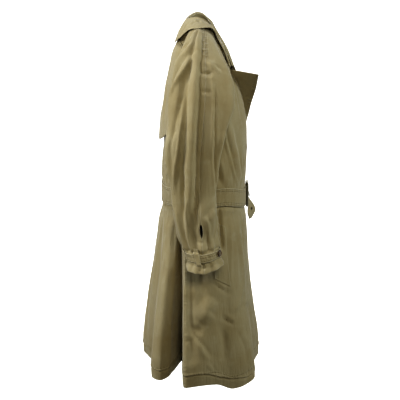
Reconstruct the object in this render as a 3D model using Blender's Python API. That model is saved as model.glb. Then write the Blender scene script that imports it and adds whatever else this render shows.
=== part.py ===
"""Belted raglan trench coat, worn with no wearer: the cloth keeps its hollow form.

Frame: metres, +Z up, the front faces -Y, the wearer's right side is at -X.
The origin lies in the mid-plane, under the neck at shoulder height, where the
wearer's shoulders carry the coat.

The body is one surface, body_point(angle, height).  The angle runs in degrees
from 0 at the centre front over +90 at the wearer's right side to 180 at the
centre back, and to -180 over the left side.  Panels are patches of that
surface, sleeves are rows of arcs that start on the same raglan curves, and
what lies on a panel is the same patch moved out along its normals.
"""
import bpy
import numpy as np
from math import pi

MM = 0.001

# ------------------------------------------------------------------ sizes
CLOTH = 1.8 * MM            # a cloth wall: shell, its facing and turnings
SEAM = 0.3 * MM             # gap between two pieces that are sewn together
LAY = 0.4 * MM              # gap under what lies on a panel

NECK_BACK_Z = 0.008         # neck seam at the centre back
WAIST_Z = -0.475
HEM_Z = -1.035

SIDE_SEAM = 112.0           # angle of the side seam at and below the waist
UNDERARM = (102.0, -0.245)  # angle and height where sleeve and side seam meet

BELT_WIDTH = 0.055
BELT_THICK = 3.0 * MM
LAPEL_WIDTH = 0.0885
LAPEL_FOOT = 0.008          # width of the turned strip where the lapel breaks
FRONT_STRIP = 0.014         # stitched strip along a front edge
FRONT_RADIUS = 0.040        # how the body rounds beside a front's edge
UNDERLAP = 6.5 * MM         # how far the left front lies under the right one
FLAP_HEM_Z = -0.306         # lower edge of the storm flap at the centre back

GABARDINE = (0.235, 0.205, 0.125)
HORN = (0.045, 0.022, 0.012)
LEATHER = (0.120, 0.115, 0.075)

# Level sections of the bodice: height, half width, depth forward, depth back.
SECTIONS = np.array([
    (-0.510, 0.165, 0.1400, 0.1165),
    (-0.475, 0.164, 0.1400, 0.1160),
    (-0.440, 0.166, 0.1405, 0.1155),
    (-0.400, 0.172, 0.1430, 0.1140),
    (-0.330, 0.180, 0.1440, 0.1105),
    (-0.245, 0.187, 0.1405, 0.1090),
    (-0.200, 0.184, 0.1330, 0.1035),
    (-0.150, 0.176, 0.1210, 0.0975),
    (-0.100, 0.158, 0.1040, 0.0900),
    (-0.050, 0.125, 0.0920, 0.0790),
    (0.000, 0.088, 0.0840, 0.0600),
    (0.040, 0.078, 0.0780, 0.0500),
])

# The hem seen from above: angle at the waist, x, y, height above HEM_Z.
# One row for each crest and trough of the skirt.
HEM = np.array([
    (-170, 0.035, 0.180, 0.000),
    (-158, 0.088, 0.152, 0.004),
    (-144, 0.152, 0.148, -0.002),
    (-132, 0.205, 0.112, -0.004),
    (-121, 0.160, 0.072, 0.006),
    (-112, 0.248, 0.044, 0.006),
    (-104, 0.262, 0.020, 0.000),
    (-88, 0.252, -0.035, -0.004),
    (-72, 0.228, -0.090, 0.002),
    (-56, 0.186, -0.146, -0.004),
    (-38, 0.128, -0.166, 0.004),
    (-20, 0.070, -0.184, -0.002),
    (0, 0.000, -0.195, -0.004),
    (16, -0.060, -0.181, 0.000),
    (28, -0.114, -0.166, 0.004),
    (40, -0.172, -0.172, -0.002),
    (54, -0.216, -0.146, -0.006),
    (67, -0.236, -0.104, -0.012),
    (80, -0.250, -0.050, 0.010),
    (94, -0.268, 0.002, 0.014),
    (107, -0.272, 0.040, 0.010),
    (112, -0.264, 0.050, 0.008),
    (118, -0.105, 0.058, 0.015),
    (127, -0.160, 0.085, 0.008),
    (135, -0.206, 0.122, 0.000),
    (144, -0.168, 0.152, -0.004),
    (154, -0.098, 0.146, -0.002),
    (167, -0.045, 0.170, 0.002),
    (180, 0.000, 0.187, 0.000),
])

# How far the skirt has opened at a height: height, front, back (0 to 1).
FLARE = np.array([
    (-1.035, 1.00, 1.00),
    (-0.980, 0.96, 1.02),
    (-0.940, 0.89, 0.96),
    (-0.870, 0.69, 0.85),
    (-0.780, 0.44, 0.66),
    (-0.700, 0.29, 0.46),
    (-0.628, 0.18, 0.30),
    (-0.560, 0.11, 0.15),
    (-0.535, 0.04, 0.04),
    (-0.518, 0.00, 0.00),
])

# Large soft folds of the body: angle and height of the upper end, angle and
# height of the lower end, half width in degrees, depth in metres (- is inward).
BODY_FOLDS = (
    (62, -0.180, 35, -0.425, 5.0, 0.0070),
    (52, -0.220, 27, -0.425, 5.0, -0.0060),
    (84, -0.310, 72, -0.415, 5.0, -0.0060),
    (150, -0.320, 141, -0.425, 7.0, -0.0060),
    (168, -0.320, 171, -0.430, 6.0, 0.0040),
    (-62, -0.190, -40, -0.425, 5.0, 0.0060),
    (-50, -0.240, -30, -0.425, 5.0, -0.0050),
    (-146, -0.310, -139, -0.420, 7.0, -0.0060),
    (42, -0.540, 36, -0.820, 4.0, 0.0060),
    (66, -0.745, 76, -1.000, 6.0, -0.0070),
    (90, -0.540, 92, -0.900, 6.0, -0.0060),
    (-46, -0.545, -50, -0.860, 5.0, -0.0070),
    (-86, -0.540, -80, -0.960, 6.0, -0.0060),
    (160, -0.530, 156, -0.800, 5.0, -0.0050),
)

# Angle of a front's free edge, then of its roll line, from the hem upward.
RIGHT_EDGE = np.array([
    (-1.035, -20), (-0.475, -26), (-0.360, -18), (-0.262, -9),
    (-0.205, 1), (-0.145, 16), (-0.088, 33),
])
LEFT_EDGE = np.array([
    (-1.035, 20), (-0.475, 25), (-0.360, 15), (-0.270, 6),
    (-0.220, -1), (-0.160, -17), (-0.114, -31),
])
RIGHT_TURN = 92.0           # degrees the lapel is turned about its roll line
LEFT_TURN = 158.0
LAPEL_DROOP = 0.12
RIGHT_BREAK_Z = -0.262
LEFT_BREAK_Z = -0.178

# Raglan seams from the neck (0) to the underarm (1): place, angle, height.
RAGLAN_FRONT = np.array([
    (0.0, 56, 0.000), (0.2, 56, -0.050), (0.4, 57, -0.100),
    (0.6, 61, -0.150), (0.8, 73, -0.203), (1.0,) + UNDERARM,
])
RAGLAN_BACK = np.array([
    (0.0, 128, 0.014), (0.2, 127, -0.030), (0.4, 125, -0.080),
    (0.6, 121, -0.140), (0.8, 114, -0.200), (1.0,) + UNDERARM,
])

# Overarm seam: place along the sleeve (0 neck, 1 underarm, 2 cuff), x, y, z.
OVERARM = np.array([
    (0.00, -0.080, 0.000, 0.038),
    (0.25, -0.134, -0.010, 0.027),
    (0.50, -0.193, -0.013, -0.008),
    (0.70, -0.237, -0.016, -0.070),
    (0.85, -0.263, -0.014, -0.145),
    (1.00, -0.280, -0.008, -0.228),
    (1.25, -0.290, 0.000, -0.325),
    (1.50, -0.300, 0.000, -0.425),
    (1.75, -0.314, -0.005, -0.532),
    (1.88, -0.323, -0.009, -0.584),
    (2.00, -0.332, -0.013, -0.632),
])
# Underarm seam of the sleeve below the underarm point.
UNDERSLEEVE = np.array([
    (1.06, -0.203, 0.031, -0.268),
    (1.25, -0.209, 0.026, -0.330),
    (1.50, -0.213, 0.018, -0.425),
    (1.75, -0.224, 0.000, -0.530),
    (1.88, -0.231, -0.006, -0.582),
    (2.00, -0.235, -0.012, -0.630),
])
# How a sleeve row bulges: place, forward, backward, outward share, upward
# share, how round the row is (0 a shallow arc, 1 a half ellipse), and how much
# its front is lifted.
BULGE = np.array([
    (0.00, 0.010, 0.010, 0.20, 0.90, 0.00, 0.000),
    (0.25, 0.020, 0.028, 0.35, 0.80, 0.15, 0.000),
    (0.50, 0.040, 0.045, 0.40, 0.50, 0.45, 0.000),
    (0.70, 0.062, 0.062, 0.30, 0.20, 0.75, 0.000),
    (0.85, 0.076, 0.077, 0.35, 0.06, 0.95, 0.000),
    (1.00, 0.082, 0.084, 0.35, 0.00, 1.00, 0.000),
    (1.25, 0.068, 0.088, 0.25, 0.00, 1.00, 0.000),
    (1.50, 0.054, 0.073, 0.10, 0.00, 1.00, 0.000),
    (1.75, 0.050, 0.068, 0.00, 0.00, 1.00, 0.003),
    (1.86, 0.049, 0.054, 0.00, 0.00, 1.00, 0.008),
    (1.90, 0.046, 0.047, 0.00, 0.00, 1.00, 0.010),
    (1.95, 0.048, 0.046, 0.00, 0.00, 1.00, 0.012),
    (2.00, 0.051, 0.048, 0.00, 0.00, 1.00, 0.015),
])
# Large sleeve folds: start place and turn, end place and turn, half width in
# metres, depth in metres.  Turn is 0 at the overarm seam, +1 at the underarm
# seam over the back, -1 over the front.
SLEEVE_FOLDS = (
    (0.16, 0.10, 0.72, 0.62, 0.012, 0.0075),
    (0.20, 0.26, 0.70, 0.80, 0.013, -0.0080),
    (0.36, 0.08, 0.90, 0.52, 0.014, 0.0080),
    (0.42, 0.00, 1.10, 0.14, 0.010, -0.0070),
    (0.50, 0.30, 1.35, 0.34, 0.016, 0.0060),
    (0.60, -0.26, 1.45, -0.22, 0.012, -0.0060),
    (1.30, 0.18, 1.75, 0.10, 0.010, -0.0060),
    (1.40, 0.44, 1.80, 0.28, 0.012, 0.0050),
    (1.20, 0.62, 1.55, 0.50, 0.012, -0.0060),
)

# Fold line of the collar from the centre back (0) to the gorge (1): place,
# x, y, z for the right half, then how the leaf falls from it, x, y, z.
COLLAR = np.array([
    (0.00, 0.000, 0.040, 0.051, 0.000, 0.035, -0.067),
    (0.12, -0.028, 0.038, 0.053, -0.012, 0.035, -0.064),
    (0.25, -0.052, 0.029, 0.057, -0.030, 0.032, -0.055),
    (0.38, -0.068, 0.011, 0.061, -0.048, 0.018, -0.030),
    (0.50, -0.075, -0.005, 0.058, -0.056, 0.001, -0.022),
    (0.62, -0.076, -0.025, 0.044, -0.046, -0.012, -0.012),
    (0.74, -0.076, -0.044, 0.018, -0.032, -0.008, -0.016),
    (0.87, -0.078, -0.068, -0.025, -0.020, -0.005, -0.014),
    (1.00, -0.084, -0.087, -0.081, -0.011, -0.003, -0.007),
])
COLLAR_LIFT = 0.007         # the left half of the collar stands this much higher
LEFT_COLLAR_SHIFT = np.array([0.0, -0.018, -0.024])  # and ends here, lower and forward


# ------------------------------------------------------------- small maths
def curve(stations, values, at):
    """Smooth curve through values at stations that never swings past them:
    cubic pieces, whose slope is zero where the values turn round."""
    x = np.asarray(stations, float)
    y = np.asarray(values, float)
    flat = y.ndim == 1
    y = y.reshape(len(x), -1)
    run = np.diff(x)[:, None]
    rise = np.diff(y, axis=0) / run
    slope = np.zeros_like(y)
    slope[0] = rise[0]
    slope[-1] = rise[-1]
    before = rise[:-1]
    after = rise[1:]
    same = before * after > 0
    w1 = 2 * run[1:] + run[:-1]
    w2 = run[1:] + 2 * run[:-1]
    safe_b = np.where(same, before, 1.0)
    safe_a = np.where(same, after, 1.0)
    slope[1:-1] = np.where(same, (w1 + w2) / (w1 / safe_b + w2 / safe_a), 0.0)
    at = np.clip(np.asarray(at, float), x[0], x[-1])
    i = np.clip(np.searchsorted(x, at, side="right") - 1, 0, len(x) - 2)
    h = run[i]
    t = ((at - x[i])[..., None]) / h
    out = ((1 + 2 * t) * (1 - t) ** 2 * y[i] + t * (1 - t) ** 2 * h * slope[i]
           + t * t * (3 - 2 * t) * y[i + 1] + t * t * (t - 1) * h * slope[i + 1])
    return out[..., 0] if flat else out


def ease(low, high, at):
    """0 below low, 1 above high, and a smooth step between them."""
    t = np.clip((np.asarray(at, float) - low) / (high - low), 0, 1)
    return t * t * (3 - 2 * t)


def unit(v):
    return v / np.maximum(np.linalg.norm(v, axis=-1, keepdims=True), 1e-9)


def lerp(a, b, t):
    return a + (b - a) * t


# ---------------------------------------------------------------- the body
def ring(angle, half_width, front, back):
    """Point of a level section: an oval a little squarer than an ellipse."""
    a = np.radians(angle)
    s = np.sin(a)
    c = np.cos(a)
    square = 2.3
    k = (np.abs(s) ** square + np.abs(c) ** square) ** (-1 / square)
    depth = np.where(c > 0, front, back)
    return -half_width * s * k, -depth * c * k


def hem_point(angle):
    """x, y and lift of the hem under an angle; the table runs round and closes."""
    rows = np.vstack([HEM[-1] - (360, 0, 0, 0), HEM, HEM[0] + (360, 0, 0, 0)])
    return curve(rows[:, 0], rows[:, 1:], angle)


def fold_height(angle, z, folds=BODY_FOLDS):
    """Sum of the folds: each is a smooth ridge or trough along its line."""
    total = np.zeros(np.broadcast(angle, z).shape)
    for a0, z0, a1, z1, width, depth in folds:
        along = (z - z0) / (z1 - z0)
        centre = lerp(a0, a1, np.clip(along, 0, 1))
        fade = np.sin(pi * np.clip(along, 0, 1)) ** 0.8
        total = total + depth * fade * np.exp(-((angle - centre) / width) ** 2)
    return total


def body_point(angle, z):
    """The coat's body: oval sections above the waist, below it a blend from
    the waist oval to the hem's crests and troughs."""
    angle, z = np.broadcast_arrays(np.asarray(angle, float), np.asarray(z, float))
    half, front, back = np.moveaxis(curve(SECTIONS[:, 0], SECTIONS[:, 1:], z), -1, 0)
    lean = 0.020 * np.exp(-((z + 0.09) / 0.10) ** 2) * ease(8, 34, -angle) * ease(100, 60, -angle)
    x, y = ring(angle, half, front + lean, back)
    hem = hem_point(angle)
    flare = curve(FLARE[:, 0], FLARE[:, 1:], z)
    opened = lerp(flare[..., 0], flare[..., 1], (1 - np.cos(np.radians(angle))) / 2)
    x = lerp(x, hem[..., 0], opened)
    y = lerp(y, hem[..., 1], opened)
    fold = fold_height(angle, z)
    away = unit(np.stack([x, 1.4 * y], -1))
    x = x + fold * away[..., 0]
    y = y + fold * away[..., 1]
    return np.stack([x, y, z + hem[..., 2] * opened ** 3], -1)


def body_normal(angle, z):
    """Outward normal of the body from central differences."""
    along = body_point(angle + 0.3, z) - body_point(angle - 0.3, z)
    up = body_point(angle, z + 0.002) - body_point(angle, z - 0.002)
    return unit(np.cross(up, along))


def side_seam(z):
    """Angle of the side seam: straight below the waist, then to the underarm."""
    return lerp(UNDERARM[0], SIDE_SEAM, ease(UNDERARM[1], WAIST_Z, z))


def steps_by_length(path, count, low, high):
    """Parameters from low to high that cut path(parameter) into equal lengths."""
    fine = np.linspace(low, high, 400)
    points = path(fine)
    length = np.concatenate([[0], np.cumsum(np.linalg.norm(np.diff(points, axis=0), axis=1))])
    return np.interp(np.linspace(0, length[-1], count + 1), length, fine)


def panel_map(bottom, top, left, right, level):
    """(angle, height) of a panel's grid points from its four edges.

    The rows run from the left edge to the right edge.  The bottom edge's
    spacing fades out upward, and the top edge's shape comes in above the row
    'level' (a share of the rows), so that the rows below it stay level.
    """
    rows = len(left)
    c = np.linspace(0, 1, len(bottom))[None, :, None]
    w = np.linspace(0, 1, rows)[:, None, None]
    straight = lerp(left[:, None, :], right[:, None, :], c)
    low = bottom[None] - lerp(bottom[0], bottom[-1], c[0])[None]
    high = top[None] - lerp(top[0], top[-1], c[0])[None]
    rise = np.clip((w - level) / (1 - level), 0, 1)
    return straight + (1 - w) * low + rise * high


# --------------------------------------------------------------- the walls
def draw_in(points, edge, distance):
    """Moves one edge row or column of a grid inward, square to that edge."""
    last, before = {"first_row": (np.s_[0], np.s_[1]), "last_row": (np.s_[-1], np.s_[-2]),
                    "first_col": (np.s_[:, 0], np.s_[:, 1]),
                    "last_col": (np.s_[:, -1], np.s_[:, -2])}[edge]
    tangent = unit(np.gradient(points[last], axis=0))
    step = points[before] - points[last]
    step = unit(step - (step * tangent).sum(-1, keepdims=True) * tangent)
    points[last] = points[last] + step * np.reshape(distance, (-1, 1))


def grid_normals(points):
    """Normals of a grid whose rows go up and whose columns go to the left of
    somebody who stands outside: cross product of the row and column steps."""
    up = np.gradient(points, axis=0)
    along = np.gradient(points, axis=1)
    return unit(np.cross(up, along))


def cell_triangles(outer, inner, points):
    """Both skins of a wall, each cell cut along the same shorter diagonal."""
    a = outer[:-1, :-1].ravel()
    b = outer[:-1, 1:].ravel()
    c = outer[1:, 1:].ravel()
    d = outer[1:, :-1].ravel()
    shift = inner[0, 0] - outer[0, 0]
    diagonal_1 = np.linalg.norm(points[:-1, :-1] - points[1:, 1:], axis=-1).ravel()
    diagonal_2 = np.linalg.norm(points[:-1, 1:] - points[1:, :-1], axis=-1).ravel()
    first = np.where((diagonal_1 <= diagonal_2)[:, None], np.stack([a, c, b], 1), np.stack([a, d, b], 1))
    second = np.where((diagonal_1 <= diagonal_2)[:, None], np.stack([a, d, c], 1), np.stack([b, d, c], 1))
    skin = np.vstack([first, second])
    return np.vstack([skin, skin[:, ::-1] + shift])


def rim_triangles(outer, inner):
    """The four narrow edges that join the two skins."""
    faces = []
    edges = ((outer[0], inner[0]), (outer[:, -1], inner[:, -1]),
             (outer[-1, ::-1], inner[-1, ::-1]), (outer[::-1, 0], inner[::-1, 0]))
    for o, i in edges:
        faces.append(np.stack([o[:-1], o[1:], i[1:]], 1))
        faces.append(np.stack([o[:-1], i[1:], i[:-1]], 1))
    return np.vstack(faces)


def wall(points, normals, thickness):
    """Closed wall of even thickness on a grid: vertices and triangles."""
    rows, cols = points.shape[:2]
    ids = np.arange(rows * cols).reshape(rows, cols)
    outer = points + normals * thickness / 2
    inner = points - normals * thickness / 2
    verts = np.vstack([outer.reshape(-1, 3), inner.reshape(-1, 3)])
    faces = np.vstack([cell_triangles(ids, ids + rows * cols, points),
                       rim_triangles(ids, ids + rows * cols)])
    step_up = points[1:, :-1] - points[:-1, :-1]
    step_along = points[:-1, 1:] - points[:-1, :-1]
    facing = (np.cross(step_up, step_along) * normals[:-1, :-1]).sum()
    return verts, faces if facing > 0 else faces[:, ::-1]


def add_object(name, verts, faces, material):
    """One named solid, smooth but for its folded edges."""
    mesh = bpy.data.meshes.new(name)
    mesh.from_pydata([tuple(v) for v in np.asarray(verts, float)], [],
                     [tuple(int(i) for i in f) for f in faces])
    mesh.update()
    mesh.shade_smooth()
    mesh.set_sharp_from_angle(angle=np.radians(50))
    mesh.materials.append(material)
    obj = bpy.data.objects.new(name, mesh)
    bpy.context.scene.collection.objects.link(obj)
    return obj


def cloth(name, points, material, normals=None, thickness=CLOTH):
    """A cloth piece: the wall on its grid of mid-surface points."""
    if normals is None:
        normals = grid_normals(points)
    verts, faces = wall(points, normals, thickness)
    return add_object(name, verts, faces, material)


def finish(name, colour, roughness):
    material = bpy.data.materials.new(name)
    material.use_nodes = True
    shader = material.node_tree.nodes["Principled BSDF"]
    shader.inputs["Base Color"].default_value = (*colour, 1)
    shader.inputs["Roughness"].default_value = roughness
    shader.inputs["Metallic"].default_value = 0.0
    return material


def on_side(points, side):
    """Points worked out for the right side, or mirrored to the left (-1)."""
    return points * np.array([side, 1.0, 1.0])


# ---------------------------------------------------------- body panels
LEVEL_ROWS = (-1.035, -0.985, -0.920, -0.850, -0.775, -0.700, -0.630, -0.580,
              -0.550, -0.522, -0.495, -0.465, -0.425, -0.385, -0.342, -0.300)
UPPER_ROWS = 7
SEAM_STEPS = 14             # steps along a raglan seam, on panels and sleeves alike
NECK_COLUMNS = 4            # panel columns that end at the neck


def edge_heights(top_z):
    """Heights of a panel's rows along an edge that ends at top_z."""
    share = 1 - (1 - np.linspace(0, 1, UPPER_ROWS + 1)[1:]) ** 1.25
    upper = lerp(LEVEL_ROWS[-1], top_z, share)
    return np.concatenate([LEVEL_ROWS, upper])


LEVEL_SHARE = (len(LEVEL_ROWS) - 1) / (len(LEVEL_ROWS) - 1 + UPPER_ROWS)
NECK_GAP = 1.4 * MM         # how far a panel ends before the neck seam

# How far a panel and a sleeve each end before the raglan seam: place, distance.
# The two walls fold more and more sharply towards the underarm.
RAGLAN_GAP = np.array([
    (0.00, 0.0005), (0.30, 0.0007), (0.50, 0.0011), (0.65, 0.0018),
    (0.80, 0.0032), (0.90, 0.0045), (1.00, 0.0060),
])


def raglan_gap(place):
    return curve(RAGLAN_GAP[:, 0], RAGLAN_GAP[:, 1], place)


def front_panel(side):
    """Grid of a front with its lapel.  side is +1 for the right front."""
    edge = RIGHT_EDGE if side > 0 else LEFT_EDGE
    break_z = RIGHT_BREAK_Z if side > 0 else LEFT_BREAK_Z
    gorge_z = edge[-1, 0]
    zs = edge_heights(gorge_z)
    left = np.stack([curve(edge[:, 0], edge[:, 1], zs), zs], 1)
    side_z = edge_heights(UNDERARM[1])
    right = np.stack([side * side_seam(side_z), side_z], 1)
    columns = NECK_COLUMNS + SEAM_STEPS
    hem_angles = steps_by_length(lambda a: body_point(a, np.full_like(a, HEM_Z)), columns,
                                 left[0, 0], right[0, 0])
    bottom = np.stack([hem_angles, np.full(columns + 1, HEM_Z)], 1)
    share = np.linspace(0, 1, NECK_COLUMNS + 1)[:, None]
    neck = lerp(left[-1], np.array([side * RAGLAN_FRONT[0, 1], RAGLAN_FRONT[0, 2]]), share)
    place = np.linspace(0, 1, SEAM_STEPS + 1)
    seam = curve(RAGLAN_FRONT[:, 0], RAGLAN_FRONT[:, 1:], place) * (side, 1)
    top = np.vstack([neck[:-1], seam])
    grid = panel_map(bottom, top, left, right, LEVEL_SHARE)
    angle, z = grid[..., 0], grid[..., 1]
    points = body_point(angle, z)
    normals = body_normal(angle, z)
    if side < 0:
        under = UNDERLAP * ease(-38, -28, angle) * ease(-0.165, -0.205, z)
        points = points - normals * under[..., None]
    draw_in(points, "last_col", SEAM / 2)
    gap = np.concatenate([np.full(NECK_COLUMNS, NECK_GAP), raglan_gap(place)])
    draw_in(points, "last_row", gap)
    strip, strip_normals = lapel_strip(points, normals, zs, break_z, gorge_z, side)
    points = np.concatenate([strip, points], 1)
    normals = np.concatenate([strip_normals, normals], 1)
    return points, normals


def lapel_strip(points, normals, zs, break_z, gorge_z, side):
    """The strip beyond the roll line: flat below the break, above it turned
    outward, and as wide as the lapel at the top.  Its columns continue the
    panel's rows, outermost first."""
    out = unit(points[:, 0] - points[:, 1])
    normal = normals[:, 0]
    rise = np.clip((zs - break_z) / (gorge_z - break_z), 0, 1)
    width = lerp(LAPEL_FOOT, LAPEL_WIDTH, rise ** 1.65)
    width = width + (FRONT_STRIP - LAPEL_FOOT) * ease(break_z - 0.010, break_z - 0.080, zs)
    turned = ease(break_z - 0.035, break_z + 0.045, zs)[:, None]
    turn = turned * np.radians(RIGHT_TURN if side > 0 else LEFT_TURN)
    level = unit(normal * (1, 1, 0))
    across = out * np.concatenate([np.ones_like(turned), np.ones_like(turned), 1 - turned], 1)
    way = unit(np.cos(turn) * across + np.sin(turn) * level - turned * LAPEL_DROOP * np.array([0, 0, 1]))
    share = np.linspace(1, 0, 4)[:-1]
    roll = 0.10 * turned[:, None] * (share * (1 - share))[None, :, None]
    reach = width[:, None] * share[None, :]
    sink = (1 - turned) * reach ** 2 / (2 * FRONT_RADIUS)
    strip = (points[:, :1] + reach[..., None] * way[:, None, :]
             + roll * width[:, None, None] * level[:, None, :]
             - sink[..., None] * normal[:, None, :])
    both = np.concatenate([strip, points[:, :2]], 1)
    strip_normals = side * grid_normals(both)
    return strip, strip_normals[:, :-2]


def back_panel(side):
    """Grid of a back half, from the side seam to the centre back seam."""
    side_z = edge_heights(UNDERARM[1])
    left = np.stack([side * side_seam(side_z), side_z], 1)
    back_z = edge_heights(NECK_BACK_Z)
    right = np.stack([np.full(len(back_z), side * 180.0), back_z], 1)
    columns = NECK_COLUMNS + SEAM_STEPS
    hem_angles = steps_by_length(lambda a: body_point(a, np.full_like(a, HEM_Z)), columns,
                                 left[0, 0], right[0, 0])
    bottom = np.stack([hem_angles, np.full(columns + 1, HEM_Z)], 1)
    place = np.linspace(1, 0, SEAM_STEPS + 1)
    seam = curve(RAGLAN_BACK[:, 0], RAGLAN_BACK[:, 1:], place) * (side, 1)
    share = np.linspace(0, 1, NECK_COLUMNS + 1)[1:, None]
    neck = lerp(seam[-1], right[-1], share)
    top = np.vstack([seam, neck])
    grid = panel_map(bottom, top, left, right, LEVEL_SHARE)
    points = body_point(grid[..., 0], grid[..., 1])
    normals = body_normal(grid[..., 0], grid[..., 1])
    draw_in(points, "first_col", SEAM / 2)
    draw_in(points, "last_col", SEAM / 2)
    gap = np.concatenate([raglan_gap(place), np.full(NECK_COLUMNS, NECK_GAP)])
    draw_in(points, "last_row", gap)
    return points, normals


# ---------------------------------------------------------------- sleeves
def sleeve_point(place, turn, side=1):
    """Point of a sleeve.  place runs 0 neck, 1 underarm, 2 cuff; turn is 0 at
    the overarm seam, +1 at the seam over the back and -1 over the front."""
    place, turn = np.broadcast_arrays(np.asarray(place, float), np.asarray(turn, float))
    over = curve(OVERARM[:, 0], OVERARM[:, 1:], place)
    front = curve(RAGLAN_FRONT[:, 0], RAGLAN_FRONT[:, 1:], place)
    back = curve(RAGLAN_BACK[:, 0], RAGLAN_BACK[:, 1:], place)
    seam_map = np.where((turn > 0)[..., None], back, front)
    cap = body_point(side * seam_map[..., 0], seam_map[..., 1])
    arm = on_side(cap, side)
    corner = on_side(body_point(side * UNDERARM[0], UNDERARM[1]), side)
    rows = np.vstack([[1.0, *corner], UNDERSLEEVE])
    below = curve(rows[:, 0], rows[:, 1:], place)
    under = np.where((place < 1)[..., None], arm, below)
    forward, backward, outward, upward, round_, lift = np.moveaxis(
        curve(BULGE[:, 0], BULGE[:, 1:], place), -1, 0)
    share = 1 - np.abs(turn)
    mix = lerp(share, (1 - np.cos(pi * share)) / 2, round_)
    amount = np.where(turn > 0, backward, forward)
    way = unit(np.stack([-outward, np.sign(turn + 1e-9) * (1 - 0.5 * upward), upward], -1))
    base = lerp(under, over, mix[..., None])
    points = base + (amount * np.sin(pi * share))[..., None] * way
    points[..., 2] += np.where(turn < 0, lift * np.sin(pi * share), 0)
    return on_side(points, side)


def sleeve_normal(place, turn, side=1):
    """Outward normal of a sleeve: central differences, clear of the seams."""
    low = np.clip(turn - 0.01, np.where(turn > 0, 0.0, -1), 1)
    high = np.clip(turn + 0.01, -1, np.where(turn < 0, -0.0, 1))
    round_arm = sleeve_point(place, high, side) - sleeve_point(place, low, side)
    start = np.clip(place - 0.01, 0, 2)
    end = np.clip(place + 0.01, 0, 2)
    down = sleeve_point(end, turn, side) - sleeve_point(start, turn, side)
    return side * unit(np.cross(round_arm, down))


def sleeve_fold_height(place, turn):
    """Folds of a sleeve; widths are real, so turn is scaled by the girth."""
    girth = 0.14
    length = 0.33
    total = np.zeros(place.shape)
    for p0, t0, p1, t1, width, depth in SLEEVE_FOLDS:
        line = np.array([(p1 - p0) * length, (t1 - t0) * girth])
        here = np.stack([(place - p0) * length, (turn - t0) * girth], -1)
        along = (here @ line) / (line @ line)
        across = (here[..., 0] * line[1] - here[..., 1] * line[0]) / np.linalg.norm(line)
        fade = np.sin(pi * np.clip(along, 0, 1)) ** 0.8
        total = total + depth * fade * np.exp(-(across / width) ** 2)
    return total


def sleeve_places():
    """Rows of a sleeve: even over the cap, then closer towards the cuff."""
    cap = np.linspace(0, 1, SEAM_STEPS + 1)
    arm = (1.07, 1.17, 1.28, 1.40, 1.52, 1.64, 1.75, 1.84, 1.90, 1.95, 2.00)
    return np.concatenate([cap, arm])


OVERARM_GAP = 0.4 * MM      # how far each half ends before the seams of the arm
UNDERARM_GAP = 0.7 * MM


def sleeve_half(side, half):
    """Grid of one half of a sleeve.  half is +1 for the back, -1 for the front."""
    place = sleeve_places()
    turn = half * np.linspace(1, 0, 8)
    p, t = np.meshgrid(place, turn, indexing="ij")
    t = np.where(t == 0, half * 1e-6, t)
    points = sleeve_point(p, t, side)
    normals = sleeve_normal(p, t, side)
    fade = 1 - np.abs(2 * np.abs(t) - 1) ** 6
    points = points + normals * (sleeve_fold_height(p, t) * fade)[..., None]
    draw_in(points, "last_col", OVERARM_GAP)
    seam_gap = np.where(place <= 1, raglan_gap(np.minimum(place, 1)), UNDERARM_GAP)
    draw_in(points, "first_col", seam_gap)
    draw_in(points, "first_row", SEAM)
    return points, normals


# ----------------------------------------------------------------- collar
NECK_STATIONS = (0.0, 0.25, 0.50, 0.70, 1.0)    # back, raglan, shoulder, raglan, gorge
FOLD_RADIUS = 3.0 * MM
LEAF_THICK = 2.4 * MM
LEAF_END = 0.980            # the leaf ends here, just short of the gorge at 1
STAND_INSET = 2.8 * MM      # the stand lies this far inside the neck edges
LEAF_INSET = 3.4 * MM       # and this far inside the leaf's roll
STAND_TUCK = 3.6 * MM       # more of that inset where the front raglan seam meets the neck
STAND_END = 0.8 * MM        # its wall ends this far before either


def neck_point(place, side):
    """Neck seam from the centre back (0) to the gorge (1), on the cut edges of
    the back, the sleeve's two halves and the front."""
    back, raglan_b, shoulder, raglan_f, gorge = NECK_STATIONS
    gorge_cut = RIGHT_EDGE[-1] if side > 0 else LEFT_EDGE[-1] * (1, -1)
    points = np.zeros((len(place), 3))
    for i, t in enumerate(place):
        if t <= raglan_b:
            angle, z = lerp(np.array([180, NECK_BACK_Z]), RAGLAN_BACK[0, 1:], t / raglan_b)
            points[i] = body_point(side * angle, z)
        elif t <= shoulder:
            turn = (shoulder - t) / (shoulder - raglan_b)
            points[i] = sleeve_point(0.0, max(turn, 1e-6), side)
        elif t <= raglan_f:
            points[i] = sleeve_point(0.0, (shoulder - t) / (raglan_f - shoulder), side)
        else:
            share = (t - raglan_f) / (gorge - raglan_f)
            angle, z = lerp(RAGLAN_FRONT[0, 1:], gorge_cut[::-1], share)
            points[i] = body_point(side * angle, z)
    return points


def collar_lines(place, side):
    """Fold line, fall of the leaf and level outward way, for one half."""
    rows = curve(COLLAR[:, 0], COLLAR[:, 1:], place)
    flip = np.array([side, 1, 1])
    fold = rows[:, :3] * flip
    fall = rows[:, 3:] * flip
    if side < 0:
        lift = np.exp(-((place - 0.45) / 0.22) ** 2)
        forward = ease(0.60, 1.0, place)
        fold = fold + lift[:, None] * (0, 0, COLLAR_LIFT) + forward[:, None] * LEFT_COLLAR_SHIFT
        fall = fall * (1 - 0.6 * forward[:, None])
    away = fold * (1, 1, 0) - np.array([0, -0.012, 0])
    return fold, fall, unit(away)


def both_halves(make, place):
    """Joins the right half, gorge to centre back, and the left half."""
    right = make(place[::-1], 1)
    left = make(place[1:], -1)
    return np.concatenate([right, left], 1)


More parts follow.
